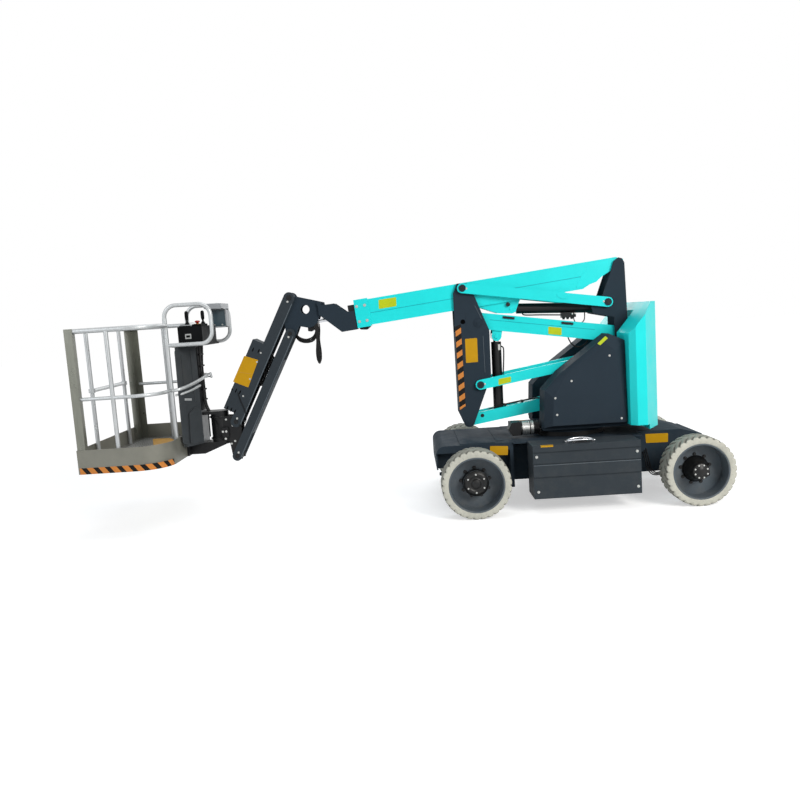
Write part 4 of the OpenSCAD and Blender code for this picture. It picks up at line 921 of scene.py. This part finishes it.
class BOOMLIFT_OT_hazard(bpy.types.Operator):
    """Slanted hazard strips on the upright's front edge and round the toe board"""
    bl_idname = "boomlift.hazard"
    bl_label = "Hazard strips"

    def execute(self, context):
        sheet = sizes().sign_sheet
        stock = Stock()
        stock.pair([(0.4975, 1.528), (0.545, 1.548), (0.549, 0.838), (0.4975, 0.806)], 0.1103, sheet)
        stock.done("upright_stripes", "front_upright", "edge_stripe")

        low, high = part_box("platform_tray")
        bend = high.x - TOE_RADIUS
        line = [Vector((low.x + 0.012, low.y, 0)), Vector((bend, low.y, 0))]
        for k in range(1, TOE_STEPS - 1):
            turn = math.pi / 2 * k / TOE_STEPS
            line.append(Vector((bend + TOE_RADIUS * math.sin(turn),
                                low.y + TOE_RADIUS * (1 - math.cos(turn)), 0)))
        far = [0.0]
        for a, b in zip(line, line[1:]):
            far.append(far[-1] + (b - a).length)
        stock = Stock()
        for side in (1, -1):
            rows = []
            for k, p in enumerate(line):
                t = (line[min(k + 1, len(line) - 1)] - line[max(k - 1, 0)]).normalized()
                out = Vector((t.y, -t.x, 0))
                a, b = p + out * TOE_GAP, p + out * (TOE_GAP + sheet)
                rows.append([stock.bm.verts.new((q.x, side * q.y, low.z + h)) for q, h in (
                    (a, 0.001), (b, 0.001), (b, sizes().strip), (a, sizes().strip))])
            new = []
            for a, b in zip(rows, rows[1:]):
                new += [stock.bm.faces.new((a[n], b[n], b[(n + 1) % 4], a[(n + 1) % 4])) for n in range(4)]
            new += [stock.bm.faces.new(rows[0]), stock.bm.faces.new(rows[-1])]
            bmesh.ops.recalc_face_normals(stock.bm, faces=new)
        strip = stock.done("toe_stripes", "platform", "toe_stripe")
        run = strip.data.attributes.new("run", "FLOAT", "POINT")
        for k, v in enumerate(strip.data.vertices):
            run.data[k].value = far[k // 4 % len(line)] + STRIPE_LEAN * (v.co.z - low.z)
        return {"FINISHED"}


# Chassis and turntable
BOX_HIGHLIGHT = 0.36  # where the painted highlight runs along a groove of the battery box as a light grey strip, as a share of its height from the top
HANDLE_X, HANDLE_IN, HANDLE_STEPS = 1.411, 0.082, 39  # the box's loop handle, that far in from the face
BOX_SCREWS = ((1.045, 0.47), (1.842, 0.47), (1.05, 0.185), (1.845, 0.185))
COVER_SCREWS = ((1.4, 1.033), (1.272, 0.76), (1.716, 1.222), (1.8, 0.7), (1.262, 0.9))


class BOOMLIFT_OT_chassis_trim(bpy.types.Operator):
    """Hood panel, box latches with a painted highlight strip, corner bolts, drive sleeve and cover screws"""
    bl_idname = "boomlift.chassis_trim"
    bl_label = "Chassis and cover trim"

    def execute(self, context):
        bolts = repeat_tree("panel_bolts", BOLT)
        stock = Stock()
        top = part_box("front_hood")[1].z
        for x0, x1, y0, y1, radius, rise, bevel in ((0.462, 0.757, 0.395, 0.395, 0.012, 0.005, 0.003),
                                                    (0.775, 0.842, 0.33, 0.31, 0.01, 0.003, 0.002)):
            corners = [(x0, -y0, top), (x1, -y1, top), (x1, y1, top), (x0, y0, top)]
            stock.prism(rounded(corners, radius), (0, 0, rise), 0, bevel)
        stock.done("hood_panel", "chassis", "slate")

        for name, side in (("left", -1), ("right", 1)):
            low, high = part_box("battery_box_" + name)
            top, face = high.z, low.y if side < 0 else high.y
            stock = Stock()

            def slab(x0, x1, deep, deeper, z0, z1, finish, bevel):
                """A block between two depths behind the box's face."""
                near, far = sorted((face - side * deep, face - side * deeper))
                stock.block((x0, near, z0), (x1, far, z1), finish, bevel)

            ring = []
            for k in range(HANDLE_STEPS + 1):
                turn = 2 * math.pi * k / HANDLE_STEPS
                ring.append((HANDLE_X + 0.108 * math.cos(turn),
                             face - side * (HANDLE_IN + 0.046 * math.sin(turn)),
                             top + 0.02 - 0.006 * math.cos(2 * turn)))
            stock.tube(ring, 0.0075, 0, 10)
            for x in (1.306, 1.516):
                slab(x - 0.016, x + 0.016, HANDLE_IN - 0.014, HANDLE_IN + 0.014, top, top + 0.018, 0, 0.004)
            slab(1.345, 1.477, 0.04, 0.125, top, top + 0.004, 1, 0.0015)
            slab(1.082, 1.18, 0.004, 0.03, top, top + 0.0012, 2, 0.0004)
            slab(1.082, 1.18, 0.0, -0.0012, top - 0.011, top - 0.001, 2, 0.0004)
            # painted highlight: a thin light grey strip along the upper edge of the box's second groove
            highlight_z = top - (top - low.z) * BOX_HIGHLIGHT
            slab(low.x + 0.003, high.x - 0.003, 0.002, -0.0016, highlight_z - 0.0055, highlight_z, 3, 0.0012)
            stock.done("box_latch_" + name, "chassis", "chrome black sign rim")
            spots = screws(BOX_SCREWS, abs(face), (side,))
            repeat("box_bolts_" + name, "chassis", bolts, spots, 0.016, 0.008, "zinc")
            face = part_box("cover_" + name)[0 if side < 0 else 1].y
            spots = screws(COVER_SCREWS, abs(face), (side,))
            repeat("cover_screws_" + name, "turntable", bolts, spots, 0.013, 0.005, "zinc")

        low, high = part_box("slew_drive")
        axis = (high.x - 0.001 - 0.262, -0.225, (low.z + high.z) / 2)
        ribs = [(0.05, 0.09)]
        for k in range(7):
            x = 0.092 + 0.016 * k
            ribs += [(0.0572, x), (0.0598, x + 0.002), (0.0598, x + 0.009), (0.0572, x + 0.012)]
        ribs += [(0.05, 0.206)]
        stock = Stock()
        stock.spin(ribs, axis, (1, 0, 0), 0, 40)
        stock.done("drive_sleeve", "turntable", "zinc")

        stock = Stock()
        for side in (-1, 1):
            # the corners lie on the cover's slanted shoulder
            quad = [Vector((x, side * y, (0.4057 + 0.43 * x - 0.64 * y) / 0.64))
                    for x, y in ((1.648, 0.433), (1.632, 0.408), (1.702, 0.398), (1.714, 0.424))]
            out = (quad[1] - quad[0]).cross(quad[2] - quad[0]).normalized()
            out = out if out.z > 0 else -out
            stock.prism(rounded([q + out * 0.0006 for q in quad], 0.004), out * 0.0012, 0)
        stock.done("cover_signs", "turntable", "lime")
        return {"FINISHED"}


# Riser and boom
UPRIGHT_Y, LINK_Y, JIB_Y = 0.1098, 0.1422, 0.0892  # outer faces of the upright, the riser's links and the jib


class BOOMLIFT_OT_boom_trim(bpy.types.Operator):
    """Seams, wear pad, pin caps, clips and pipes of the riser and boom"""
    bl_idname = "boomlift.boom_trim"
    bl_label = "Riser and boom trim"

    def execute(self, context):
        bolts = repeat_tree("pin_bolts", BOLT)
        caps = repeat_tree("pin_caps", CAP)

        stock = Stock()
        seam = [(-0.222, 1.6985), (1.64, 1.8915), (1.6402, 1.8865), (-0.2218, 1.6935)]
        stock.pair(seam, 0.0848, 0.0016, 0, 0.0005, 1)
        pad = on_side([(-0.352, 1.592), (-0.318, 1.556), (-0.262, 1.552), (-0.212, 1.592)], -0.052)
        stock.prism(rounded(pad, 0.014), (0, 0.104, 0), 1, 0.003)
        stock.done("boom_seams", "main_boom", "seam black")
        stock = Stock()
        cheek = [(1.546, 1.786), (1.562, 1.842), (1.648, 1.958), (1.676, 1.974), (1.846, 1.996),
                 (1.806, 1.906), (1.722, 1.832), (1.6, 1.796)]
        stock.pair(cheek, 0.0842, 0.0042, 0, 0.0018, radius=0.014)
        stock.done("boom_cheeks", "main_boom", "turquoise")
        stock = Stock()
        turns = [2 * math.pi * k / 28 for k in range(28)]
        boss = [(1.42 + 0.052 * math.cos(a) * 0.985,
                 1.7365 + 0.03 * math.sin(a) - 0.052 * math.cos(a) * 0.158) for a in turns]
        stock.pair(boss, 0.1415, 0.004, 0, 0.0016)
        stock.done("link_bosses", "upper_links", "turquoise")
        spots = screws(((-0.339, 1.756), (-0.269, 1.763), (-0.322, 1.625), (-0.256, 1.632)), 0.0952)
        repeat("collar_bolts", "main_boom", bolts, spots, 0.018, 0.008, "zinc")

        stock = Stock()
        stock.pair([(0.8, 1.5712), (1.7, 1.4288), (1.6994, 1.4243), (0.7994, 1.5667)], 0.0798, 0.0012)
        for x, z in ((0.965, 1.585), (1.467, 1.5055)):
            stock.pair([(x - 0.052, z + 0.0085), (x + 0.048, z - 0.0075), (x + 0.046, z - 0.027),
                        (x - 0.054, z - 0.011)], 0.0795, 0.01, 1, 0.002, radius=0.004)
        stock.done("upper_arm_trim", "upper_arm", "seam black")

        stock = Stock()
        run = [(0.8, -0.052, 0.786), (0.82, -0.054, 0.806), (0.9, -0.054, 0.823), (1.05, -0.054, 0.8455),
               (1.18, -0.054, 0.862), (1.215, -0.052, 0.852)]
        for off in (0.0, 0.016):
            stock.tube(smooth_path([(x, y + off, z) for x, y, z in run], 36), 0.0062, 0)
        for x in (0.9, 1.05):
            top = 0.823 + (x - 0.9) * 0.15
            stock.block((x - 0.011, -0.066, top - 0.014), (x + 0.011, -0.026, top + 0.009), 1, 0.003)
        stock.done("lower_arm_pipes", "lower_arm", "hose black")

        pins = {
            "front_upright": (screws([(0.6864, 1.0169)], 0.1478, scale=0.52)
                              + screws([(0.5714, 1.8519)], 0.1478, scale=0.62)),
            "rear_mast": screws([(1.803, 1.6569)], 0.1478, scale=0.62),
            "lower_arm": screws([(0.694, 0.74)], 0.0795, scale=(0.55, 0.55, 0.3)),
            "jib_arm": (screws([(-0.9152, 1.8679)], 0.0885, scale=0.8)
                        + screws([(-1.4688, 0.8224)], 0.0885, scale=0.7)),
            "jib_link": screws([(-0.9312, 1.5619), (-1.4848, 0.5164)], 0.0885, scale=0.62),
            "main_boom": screws([(0.962, 1.69)], 0.0848, scale=(0.6, 0.6, 0.3)),
        }
        for body, spots in pins.items():
            repeat("pin_caps_" + body, body, caps, spots, 0.03, 0.007, "hub")
        # painted shadow: the plug is drawn near black for the shade in its hole
        plugs = screws([(0.5645, 1.567)], 0.1095, scale=(0.72, 0.72, 0.22))
        repeat("upright_plugs", "front_upright", caps, plugs, 0.03, 0.007, "slot")
        bosses = screws([(0.5755, 0.6949)], 0.113, scale=1.15) + screws([(0.6905, 1.5489)], 0.113, scale=1.2)
        repeat("upright_bosses", "front_upright", caps, bosses, 0.03, 0.007, "slate")
        for body, y, places in (("upper_links", LINK_Y, ((0.606, 1.8462), (1.768, 1.6625))),
                                ("lower_links", LINK_Y, ((0.722, 1.0225),)),
                                ("jib_link", JIB_Y, ((-1.47, 0.549), (-0.946, 1.533))),
                                ("jib_arm", JIB_Y, ((-1.456, 0.852), (-0.93, 1.835)))):
            repeat("pin_locks_" + body, body, bolts, screws(places, y), 0.013, 0.006, "zinc")

        # painted highlights: the light grey ribs stand for where the upright's bent edges catch the light;
        # the rounded field is slate
        stock = Stock()
        for rib in ([(0.729, 1.434), (0.733, 1.434), (0.735, 1.119), (0.731, 1.119)],
                    [(0.672, 1.7), (0.676, 1.7), (0.728, 1.582), (0.724, 1.582)]):
            stock.pair(rib, UPRIGHT_Y, 0.003, 0, 0.001)
        stock.pair([(0.59, 1.64), (0.664, 1.64), (0.716, 1.52), (0.69, 1.5), (0.64, 1.47), (0.59, 1.5)],
                   UPRIGHT_Y, 0.0022, 1, 0.001, radius=0.018)
        stock.done("upright_highlight_ribs", "front_upright", "rim slate")

        stock = Stock()
        pipe = [(0.872, -0.03, 1.335), (0.9, -0.034, 1.33), (0.912, -0.036, 1.3), (0.906, -0.036, 1.18),
                (0.896, -0.036, 1.08), (0.884, -0.03, 1.055)]
        stock.tube(smooth_path(pipe, 30), 0.006, 0)
        stock.block((0.862, -0.048, 1.3), (0.884, -0.01, 1.352), 1, 0.003)
        stock.done("riser_pipe", "riser_barrel", "black zinc")

        stock = Stock()
        stock.tube(smooth_path([(1.09, -0.034, 1.606), (1.11, -0.036, 1.59), (1.25, -0.036, 1.582),
                                (1.4, -0.036, 1.572), (1.44, -0.034, 1.57)], 30), 0.006, 0)
        stock.block((1.425, -0.05, 1.545), (1.55, 0.01, 1.59), 0, 0.004)
        for x in (1.445, 1.48, 1.515):
            stock.spin([(0.0, -0.012), (0.01, -0.012), (0.01, -0.004), (0.013, -0.004), (0.013, 0.012),
                        (0.0, 0.012)], (x, -0.03, 1.541), (0, 0, 1), 0, 12, False)
        for x in (1.515, 1.538):
            stock.spin([(0.0, 0.0), (0.008, 0.0), (0.008, 0.008), (0.006, 0.01), (0.006, 0.018),
                        (0.0, 0.018)], (x, -0.05, 1.575), (0, -1, 0), 1, 12, False)
        stock.done("lift_valve", "lift_barrel", "black zinc")
        return {"FINISHED"}


# Jib
JIB_LEAN = math.radians(62.1)
JIB_VENTS = ((-1.263, 1.444), (-1.215, 1.429), (-1.476, 1.112), (-1.443, 1.097), (-1.409, 1.081),
             (-1.532, 0.95), (-1.501, 0.932), (-1.469, 0.914))
JIB_SCREWS = ((-1.237, 1.335), (-1.311, 1.191), (-1.385, 1.046), (-1.198, 1.412))
ROTATOR_X, ROTATOR_R = -1.6288, 0.0842
ROTATOR_RING = [(0.082, 0.0), (0.084, 0.002), (0.084, 0.016), (0.08, 0.018), (0.078, 0.018), (0.078, 0.0)]
VALVE_SCREW = [(0.0, 0.0), (0.01, 0.0), (0.01, 0.0025), (0.0075, 0.003), (0.0075, 0.006), (0.0, 0.006)]


class BOOMLIFT_OT_jib_trim(bpy.types.Operator):
    """Vent slots, screws and folded edges of the jib and its cover, the edges shown as painted highlights"""
    bl_idname = "boomlift.jib_trim"
    bl_label = "Jib trim"

    def execute(self, context):
        slots = repeat_tree("vent_slots", PATCH)
        bolts = repeat_tree("cover_screws", BOLT)
        along = Vector((math.cos(JIB_LEAN), 0, math.sin(JIB_LEAN)))
        spots = []
        for side in (-1, 1):
            aim = Vector((0, side, 0))
            turn = Matrix((along.cross(aim), along, aim)).transposed()
            spots += [((x, side * JIB_Y, z), turn, (1.0, 3.6, 1.0)) for x, z in JIB_VENTS]
        # painted shadow: flat dark patches stand for the shade inside the vent slots
        repeat("jib_vents", "jib_arm", slots, spots, 0.0055, 0.0012, "slot")
        repeat("jib_screws", "jib_arm", bolts, screws(JIB_SCREWS, 0.0896), 0.011, 0.005, "zinc")
        stock = Stock()
        fold = [(-1.402, 1.259), (-1.284, 1.234), (-1.2855, 1.2305), (-1.4035, 1.2555)]
        stock.prism(on_side(fold, -0.091), (0, -0.0004, 0), 0)
        stock.done("jib_sign_fold", "jib_arm", "ochre")

        # painted highlights: light grey strips along the edges of the jib arm and link
        for body, foot, head, wide in (("jib_arm", (-1.43, 0.802), (-0.8935, 1.8157), 0.004),
                                       ("jib_link", (-1.453, 0.503), (-0.9065, 1.536), 0.0036)):
            stock = Stock()
            line = Vector((head[0] - foot[0], head[1] - foot[1])).normalized()
            x, z = line.y * wide, -line.x * wide
            stock.pair([(foot[0] - x, foot[1] - z), (head[0] - x, head[1] - z), (head[0] + x, head[1] + z),
                        (foot[0] + x, foot[1] + z)], 0.0885, 0.0032, 0, 0.0014)
            stock.done(body + "_painted_highlights", body, "rim")

        stock = Stock()
        top, run = Vector((-0.91504, 0, 1.86794)), Vector((-0.5536, 0, -1.0455))
        out = Vector((-run.z, 0, run.x)).normalized()
        for k in range(3):
            lift = 0.0145 * k
            # share of the jib's length, distance out from its middle line
            line = [(0.405 + 0.012 * k, -0.03), (0.418 + 0.01 * k, 0.02), (0.445 + 0.006 * k, 0.046 + lift),
                    (0.48, 0.053 + lift), (0.58, 0.052 + lift), (0.665, 0.053 + lift),
                    (0.692 - 0.006 * k, 0.046 + lift), (0.712 - 0.01 * k, 0.02), (0.722 - 0.012 * k, -0.03)]
            spots = [top + run * share + out * off + Vector((0, 0.006 * (k - 1), 0)) for share, off in line]
            stock.tube(smooth_path(spots, 60), 0.007, 0, 12)
        near, step = Vector((0, -0.022, 0)), run.normalized() * 0.008
        for share in (0.5, 0.58, 0.66):
            foot, head = near + top + run * share - out * 0.031, near + top + run * share + out * 0.094
            stock.prism([foot - step, head - step, head + step, foot + step], -2 * near, 0, 0.002)
        stock.done("jib_lines", "jib_arm", "hose")
        stock = Stock()
        block = [(-0.78, 1.632), (-0.722, 1.642), (-0.724, 1.58), (-0.752, 1.566), (-0.78, 1.572)]
        stock.prism(rounded(on_side(block, -0.034), 0.008), (0, 0.068, 0), 0, 0.004)
        stock.block((-0.716, -0.062, 1.6), (-0.69, 0.062, 1.64), 0, 0.005)
        stock.done("nose_clamp", "jib_knuckle", "black")

        stock = Stock()
        stock.block((-1.606, -0.087, 0.69), (-1.542, -0.06, 0.78), 0, 0.005)
        stock.block((-1.592, -0.085, 0.664), (-1.552, -0.06, 0.692), 0, 0.004)
        for x, z in ((-1.592, 0.742), (-1.562, 0.742), (-1.572, 0.678)):
            stock.spin(VALVE_SCREW, (x, -0.0846, z), (0, -1, 0), 1, 14, False)
        for z in (0.862, 0.672):
            stock.spin(ROTATOR_RING, (ROTATOR_X, 0, z), (0, 0, 1), 0, 40)
        stock.done("rotator_valve", "platform_carrier", "black zinc")
        turns = [2 * math.pi * (k + 0.5) / 10 for k in range(10)]
        aims = [Vector((math.cos(a), math.sin(a), 0)) for a in turns]
        ring = [(aim * ROTATOR_R + Vector((ROTATOR_X, 0, z)), aim, 1.0)
                for z in (0.872, 0.682) for aim in aims]
        repeat("rotator_bolts", "platform_carrier", bolts, ring, 0.013, 0.007, "hub")
        spots = screws(((-1.56, 0.846), (-1.528, 0.628), (-1.496, 0.65), (-1.506, 0.79)), 0.0672)
        repeat("carrier_bolts", "platform_carrier", bolts, spots, 0.013, 0.007, "zinc")
        return {"FINISHED"}


# Platform
JOYSTICK = [(0.0, 0.0), (0.03, 0.0), (0.03, 0.004), (0.024, 0.008), (0.026, 0.013), (0.019, 0.017),
            (0.021, 0.022), (0.014, 0.027), (0.016, 0.031), (0.0085, 0.036), (0.008, 0.05),
            (0.013, 0.056), (0.0155, 0.075), (0.0155, 0.112), (0.013, 0.124), (0.007, 0.13), (0.0, 0.131)]
STOP_SEAT = [(0.0, 0.0), (0.028, 0.0), (0.028, 0.005), (0.0, 0.005)]
STOP_BUTTON = [(0.0, 0.004), (0.012, 0.004), (0.012, 0.014), (0.021, 0.016), (0.022, 0.024), (0.018, 0.03),
               (0.0, 0.033)]
CLAMP_KNOB = [(0.0, 0.0), (0.006, 0.0), (0.006, 0.018), (0.014, 0.02), (0.015, 0.03), (0.01, 0.036),
              (0.0, 0.037)]
PANEL_FACETS = (  # corners (along, z), stand-off, corner radius, depth, bevel
    (((0.02, 1.1), (0.105, 1.12), (0.09, 1.43), (0.02, 1.45)), 0.0003, 0.012, 0.004, 0.002),
    (((0.024, 0.68), (0.175, 0.67), (0.18, 0.93), (0.12, 0.985), (0.04, 0.94)), 0.0003, 0.016, 0.016, 0.006),
    (((0.13, 1.03), (0.18, 1.03), (0.18, 1.48), (0.13, 1.48)), 0.0003, 0.01, 0.005, 0.002),
    (((-0.052, 0.69), (0.012, 0.68), (0.012, 1.49), (-0.044, 1.49)), -0.004, 0.02, 0.008, 0.003),
)
DECK_INSET, DECK_RADIUS, DECK_STEPS = 0.0075, 0.225, 12
GRIP_ROWS, GRIP_ACROSS = 20, 40


def oblong(x0, x1, z0, z1):
    """Corners (x, z) of an upright rectangle."""
    return [(x0, z0), (x1, z0), (x1, z1), (x0, z1)]


class BOOMLIFT_OT_platform_trim(bpy.types.Operator):
    """Controls, moulded panel, clamps and grip floor of the platform"""
    bl_idname = "boomlift.platform_trim"
    bl_label = "Platform trim"

    def execute(self, context):
        bolts = repeat_tree("platform_bolts", BOLT)
        self.controls(bolts)
        self.hood(bolts)
        self.panel()
        self.deck(repeat_tree("floor_studs", PATCH))
        return {"FINISHED"}

    def controls(self, bolts):
        """Joysticks, stop button, switches and the console's raised parts."""
        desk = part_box("console")[1].z
        stock = Stock()
        for x, y in ((-1.786, -0.175), (-1.69, -0.03)):
            stock.spin(JOYSTICK, (x, y, desk), (0, 0, 1), 0, 24)
        stop = (-1.72, -0.1, desk + 0.014)
        stock.spin(STOP_SEAT, stop, (0, 0, 1), 3, 32, False)
        stock.spin(STOP_BUTTON, stop, (0, 0, 1), 2, 32)
        label = on_side(oblong(-1.799, -1.747, 1.574, 1.617), -0.2234)
        stock.prism(rounded(label, 0.004), (0, -0.0015, 0), 1, 0.0005)
        socket = on_side(oblong(-1.79, -1.756, 1.586, 1.605), -0.2249)
        stock.prism(rounded(socket, 0.003), (0, -0.0012, 0), 0, 0.0004)
        pad = [(x, y, desk) for x, y in oblong(-1.85, -1.745, -0.215, 0.0)]
        stock.prism(rounded(pad, 0.012), (0, 0, 0.006), 0, 0.002)
        stock.block((-1.846, -0.212, desk), (-1.738, -0.13, desk + 0.014), 4, 0.004)
        stock.block((-1.742, -0.205, desk), (-1.66, 0.0, desk + 0.016), 0, 0.005)
        stock.block((-1.874, -0.286, 1.516), (-1.845, 0.286, 1.538), 0, 0.004)
        stock.done("console_controls", "platform", "moulded label red sign hood")
        keys = [((-1.835, -0.19 + 0.03 * k, desk + 0.006), (0, 0, 1), 1.0) for k in range(6)]
        repeat("console_switches", "platform", bolts, keys, 0.014, 0.012, "slot")

    def hood(self, bolts):
        """The console hood's thin shell, with its window, frame, header and roof."""
        low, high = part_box("console_hood")
        left, right, face, foot, brow = low.x + 0.041, high.x, 0.188, low.z - 0.028, high.z - 0.04
        stock = Stock()
        stock.block((left, face + 0.006, foot), (right, high.y, brow), 0, 0.004)
        for x0, x1, z0, z1 in ((left, left + 0.01, foot, brow), (right - 0.012, right, foot, brow),
                               (left, right, foot, foot + 0.012), (left, right, brow - 0.01, brow)):
            stock.block((x0, face - 0.002, z0), (x1, face + 0.01, z1), 0, 0.002)
        # painted shade: the window pane's dark colour stands for the shade inside the hood
        stock.block((left + 0.008, face + 0.003, foot + 0.01), (right - 0.01, face + 0.008, brow - 0.008), 1,
                    0.001)
        lip = low.y + 0.024
        header = [(low.x + 0.002, high.z + 0.003), (right, high.z + 0.003), (right, brow - 0.006),
                  (left + 0.034, brow + 0.002)]
        stock.prism(rounded(on_side(header, lip), 0.006), (0, 0.004, 0), 0, 0.0012)
        roof = [(low.x + 0.004, lip + 0.002), (right, lip + 0.002), (right, high.y), (left, high.y)]
        stock.prism([(x, y, high.z - 0.003) for x, y in roof], (0, 0, 0.006), 0, 0.002)
        cheek = [(lip + 0.002, high.z), (lip + 0.002, brow + 0.004), (face + 0.004, brow - 0.012),
                 (high.y, brow - 0.012), (high.y, high.z)]
        for x in (left, right - 0.004):
            stock.prism([(x, y, z) for y, z in cheek], (0.004, 0, 0), 0)
        stock.block((left + 0.004, high.y - 0.006, brow - 0.006), (right - 0.004, high.y, high.z), 0, 0.002)
        shell = stock.done("hood_shell", "platform", "hood window")
        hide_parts("console_hood")
        spots = [((left + (right - left) * s, face + 0.003, foot + 0.026), (0, -1, 0), 1.0)
                 for s in (0.26, 0.72)]
        repeat("window_screws", "platform", bolts, spots, 0.01, 0.004, "zinc")

    def panel(self):
        """Raised fields on the console panel's slanted faces, and the bars and clamps in front of it."""
        start, end = Vector((-1.8546, -0.2699, 0)), Vector((-1.7621, -0.0936, 0))
        along = (end - start).normalized()
        out = Vector((along.y, -along.x, 0))

        def facet(corners, off):
            return [start + along * s + out * off + Vector((0, 0, z)) for s, z in corners]

        stock = Stock()
        for mirror in (1, -1):
            for corners, off, radius, depth, bevel in PANEL_FACETS:
                field = [Vector((p.x, mirror * p.y, p.z)) for p in rounded(facet(corners, off), radius)]
                stock.prism(field, (out.x * depth, mirror * out.y * depth, 0), 0, bevel)
        ridge = [(-1.7622, -0.09, 0.94), (-1.7622, 0.09, 0.94), (-1.7622, 0.078, 1.5), (-1.7622, -0.078, 1.5)]
        stock.prism(rounded(ridge, 0.02), (0.006, 0, 0), 1, 0.002)
        for z in (1.43, 1.33, 1.12, 1.03):
            stock.block((-1.76, -0.05, z - 0.007), (-1.7355, 0.055, z + 0.007), 1, 0.003)
        stock.done("panel_relief", "platform", "panel moulded")

        stock = Stock()
        bar = [(-1.935, -0.322, 1.15), (-1.872, -0.302, 1.158), (-1.806, -0.212, 1.18),
               (-1.742, -0.072, 1.218), (-1.722, 0.03, 1.242)]
        stock.tube(smooth_path(bar, 36), 0.0145, 0, 14)
        brace = [(-1.905, -0.306, 1.11), (-1.86, -0.28, 1.116), (-1.802, -0.2, 1.134),
                 (-1.752, -0.092, 1.164)]
        stock.tube(smooth_path(brace, 30), 0.0105, 0, 12)
        stock.block((-1.764, 0.005, 1.22), (-1.708, 0.05, 1.262), 0, 0.004)
        for y, z in ((0.02, 1.252), (0.036, 1.228)):
            stock.spin(CLAMP_KNOB, (-1.708, y, z), (1, 0, 0), 0, 14)
        catch = facet(((0.01, 1.075), (0.085, 1.065), (0.085, 1.045), (0.01, 1.055)), 0.001)
        stock.prism(catch, out * 0.014, 0, 0.003)
        stock.done("panel_clamps", "platform", "alloy")

    def deck(self, studs):
        """Floor plate on three bearers, with its grip studs and floor mark."""
        low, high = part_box("platform_tray")
        under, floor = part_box("guard_left")[0].z, low.z + sizes().deck
        left, right, wide = low.x + DECK_INSET, high.x - DECK_INSET, high.y - DECK_INSET
        edge = [Vector((left, wide, floor)), Vector((left, low.y + DECK_INSET, floor))]
        turns = [math.pi / 2 * k / DECK_STEPS for k in range(DECK_STEPS + 1)]
        for side, order in ((-1, turns), (1, turns[::-1])):
            edge += [Vector((right - DECK_RADIUS * (1 - math.sin(turn)),
                             side * (wide - DECK_RADIUS * (1 - math.cos(turn))), floor)) for turn in order]
        stock = Stock()
        stock.prism(edge, (0, 0, -0.003), 0)
        for x in (low.x + 0.16, (low.x + high.x) / 2, high.x - 0.2):
            stock.block((x - 0.015, -0.56, under), (x + 0.015, 0.56, floor - 0.002), 0, 0.002)
        stock.done("deck_plate", "platform", "tray")
        grid = []
        for i in range(GRIP_ROWS):
            for j in range(GRIP_ACROSS):
                x, y = low.x + 0.075 + 0.03 * i, -0.6 + 0.0308 * j
                past = x - high.x + 0.24  # how far the stud lies past the start of the rounded corners
                inside = past < 0 or abs(y) < 0.44 + math.sqrt(max(0.0, 0.0484 - past ** 2))
                if x < high.x - 0.03 and inside:
                    turn = Matrix.Rotation(math.radians(45 if (i + j) % 2 else -45), 3, "Z")
                    grid.append(((x, y, floor), turn, (2.2, 0.8, 1.0)))
        repeat("floor_grip", "platform", studs, grid, 0.0042, 0.0022, "alloy")
        stock = Stock()
        mark = [(-2.45, 0.545), (-2.268, 0.515), (-2.195, 0.4), (-2.13, 0.1), (-2.285, 0.1)]
        stock.prism(rounded([(x, y, floor + 0.0024) for x, y in mark], 0.02), (0, 0, 0.0014), 0)
        stock.done("floor_mark", "platform", "ochre")


OPERATORS = (BOOMLIFT_OT_stage, BOOMLIFT_OT_hoses, BOOMLIFT_OT_paint, BOOMLIFT_OT_tyres, BOOMLIFT_OT_wheels,
             BOOMLIFT_OT_signs, BOOMLIFT_OT_hazard, BOOMLIFT_OT_chassis_trim, BOOMLIFT_OT_boom_trim,
             BOOMLIFT_OT_jib_trim, BOOMLIFT_OT_platform_trim)


class BOOMLIFT_PT_panel(bpy.types.Panel):
    """Lists the steps that dress the boom lift"""
    bl_idname = "BOOMLIFT_PT_panel"
    bl_label = "Boom lift"
    bl_space_type = "VIEW_3D"
    bl_region_type = "UI"
    bl_category = "Boom lift"

    def draw(self, context):
        for step in OPERATORS:
            self.layout.operator(step.bl_idname)
        for group in (context.scene.boom_lift_tints, context.scene.boom_lift_sizes):
            for key in group.bl_rna.properties.keys():
                if key not in ("rna_type", "name"):
                    self.layout.prop(group, key)


CLASSES = (BoomLiftTints, BoomLiftSizes, *OPERATORS, BOOMLIFT_PT_panel)


def register():
    for item in CLASSES:
        bpy.utils.register_class(item)
    bpy.types.Scene.boom_lift_tints = bpy.props.PointerProperty(type=BoomLiftTints)
    bpy.types.Scene.boom_lift_sizes = bpy.props.PointerProperty(type=BoomLiftSizes)


def unregister():
    del bpy.types.Scene.boom_lift_tints
    del bpy.types.Scene.boom_lift_sizes
    for item in reversed(CLASSES):
        bpy.utils.unregister_class(item)


def main():
    register()
    bpy.ops.boomlift.stage()
    bpy.ops.boomlift.hoses()
    bpy.ops.boomlift.paint()
    bpy.ops.boomlift.tyres()
    bpy.ops.boomlift.wheels()
    bpy.ops.boomlift.signs()
    bpy.ops.boomlift.hazard()
    bpy.ops.boomlift.chassis_trim()
    bpy.ops.boomlift.boom_trim()
    bpy.ops.boomlift.jib_trim()
    bpy.ops.boomlift.platform_trim()


if __name__ == "__main__":
    main()
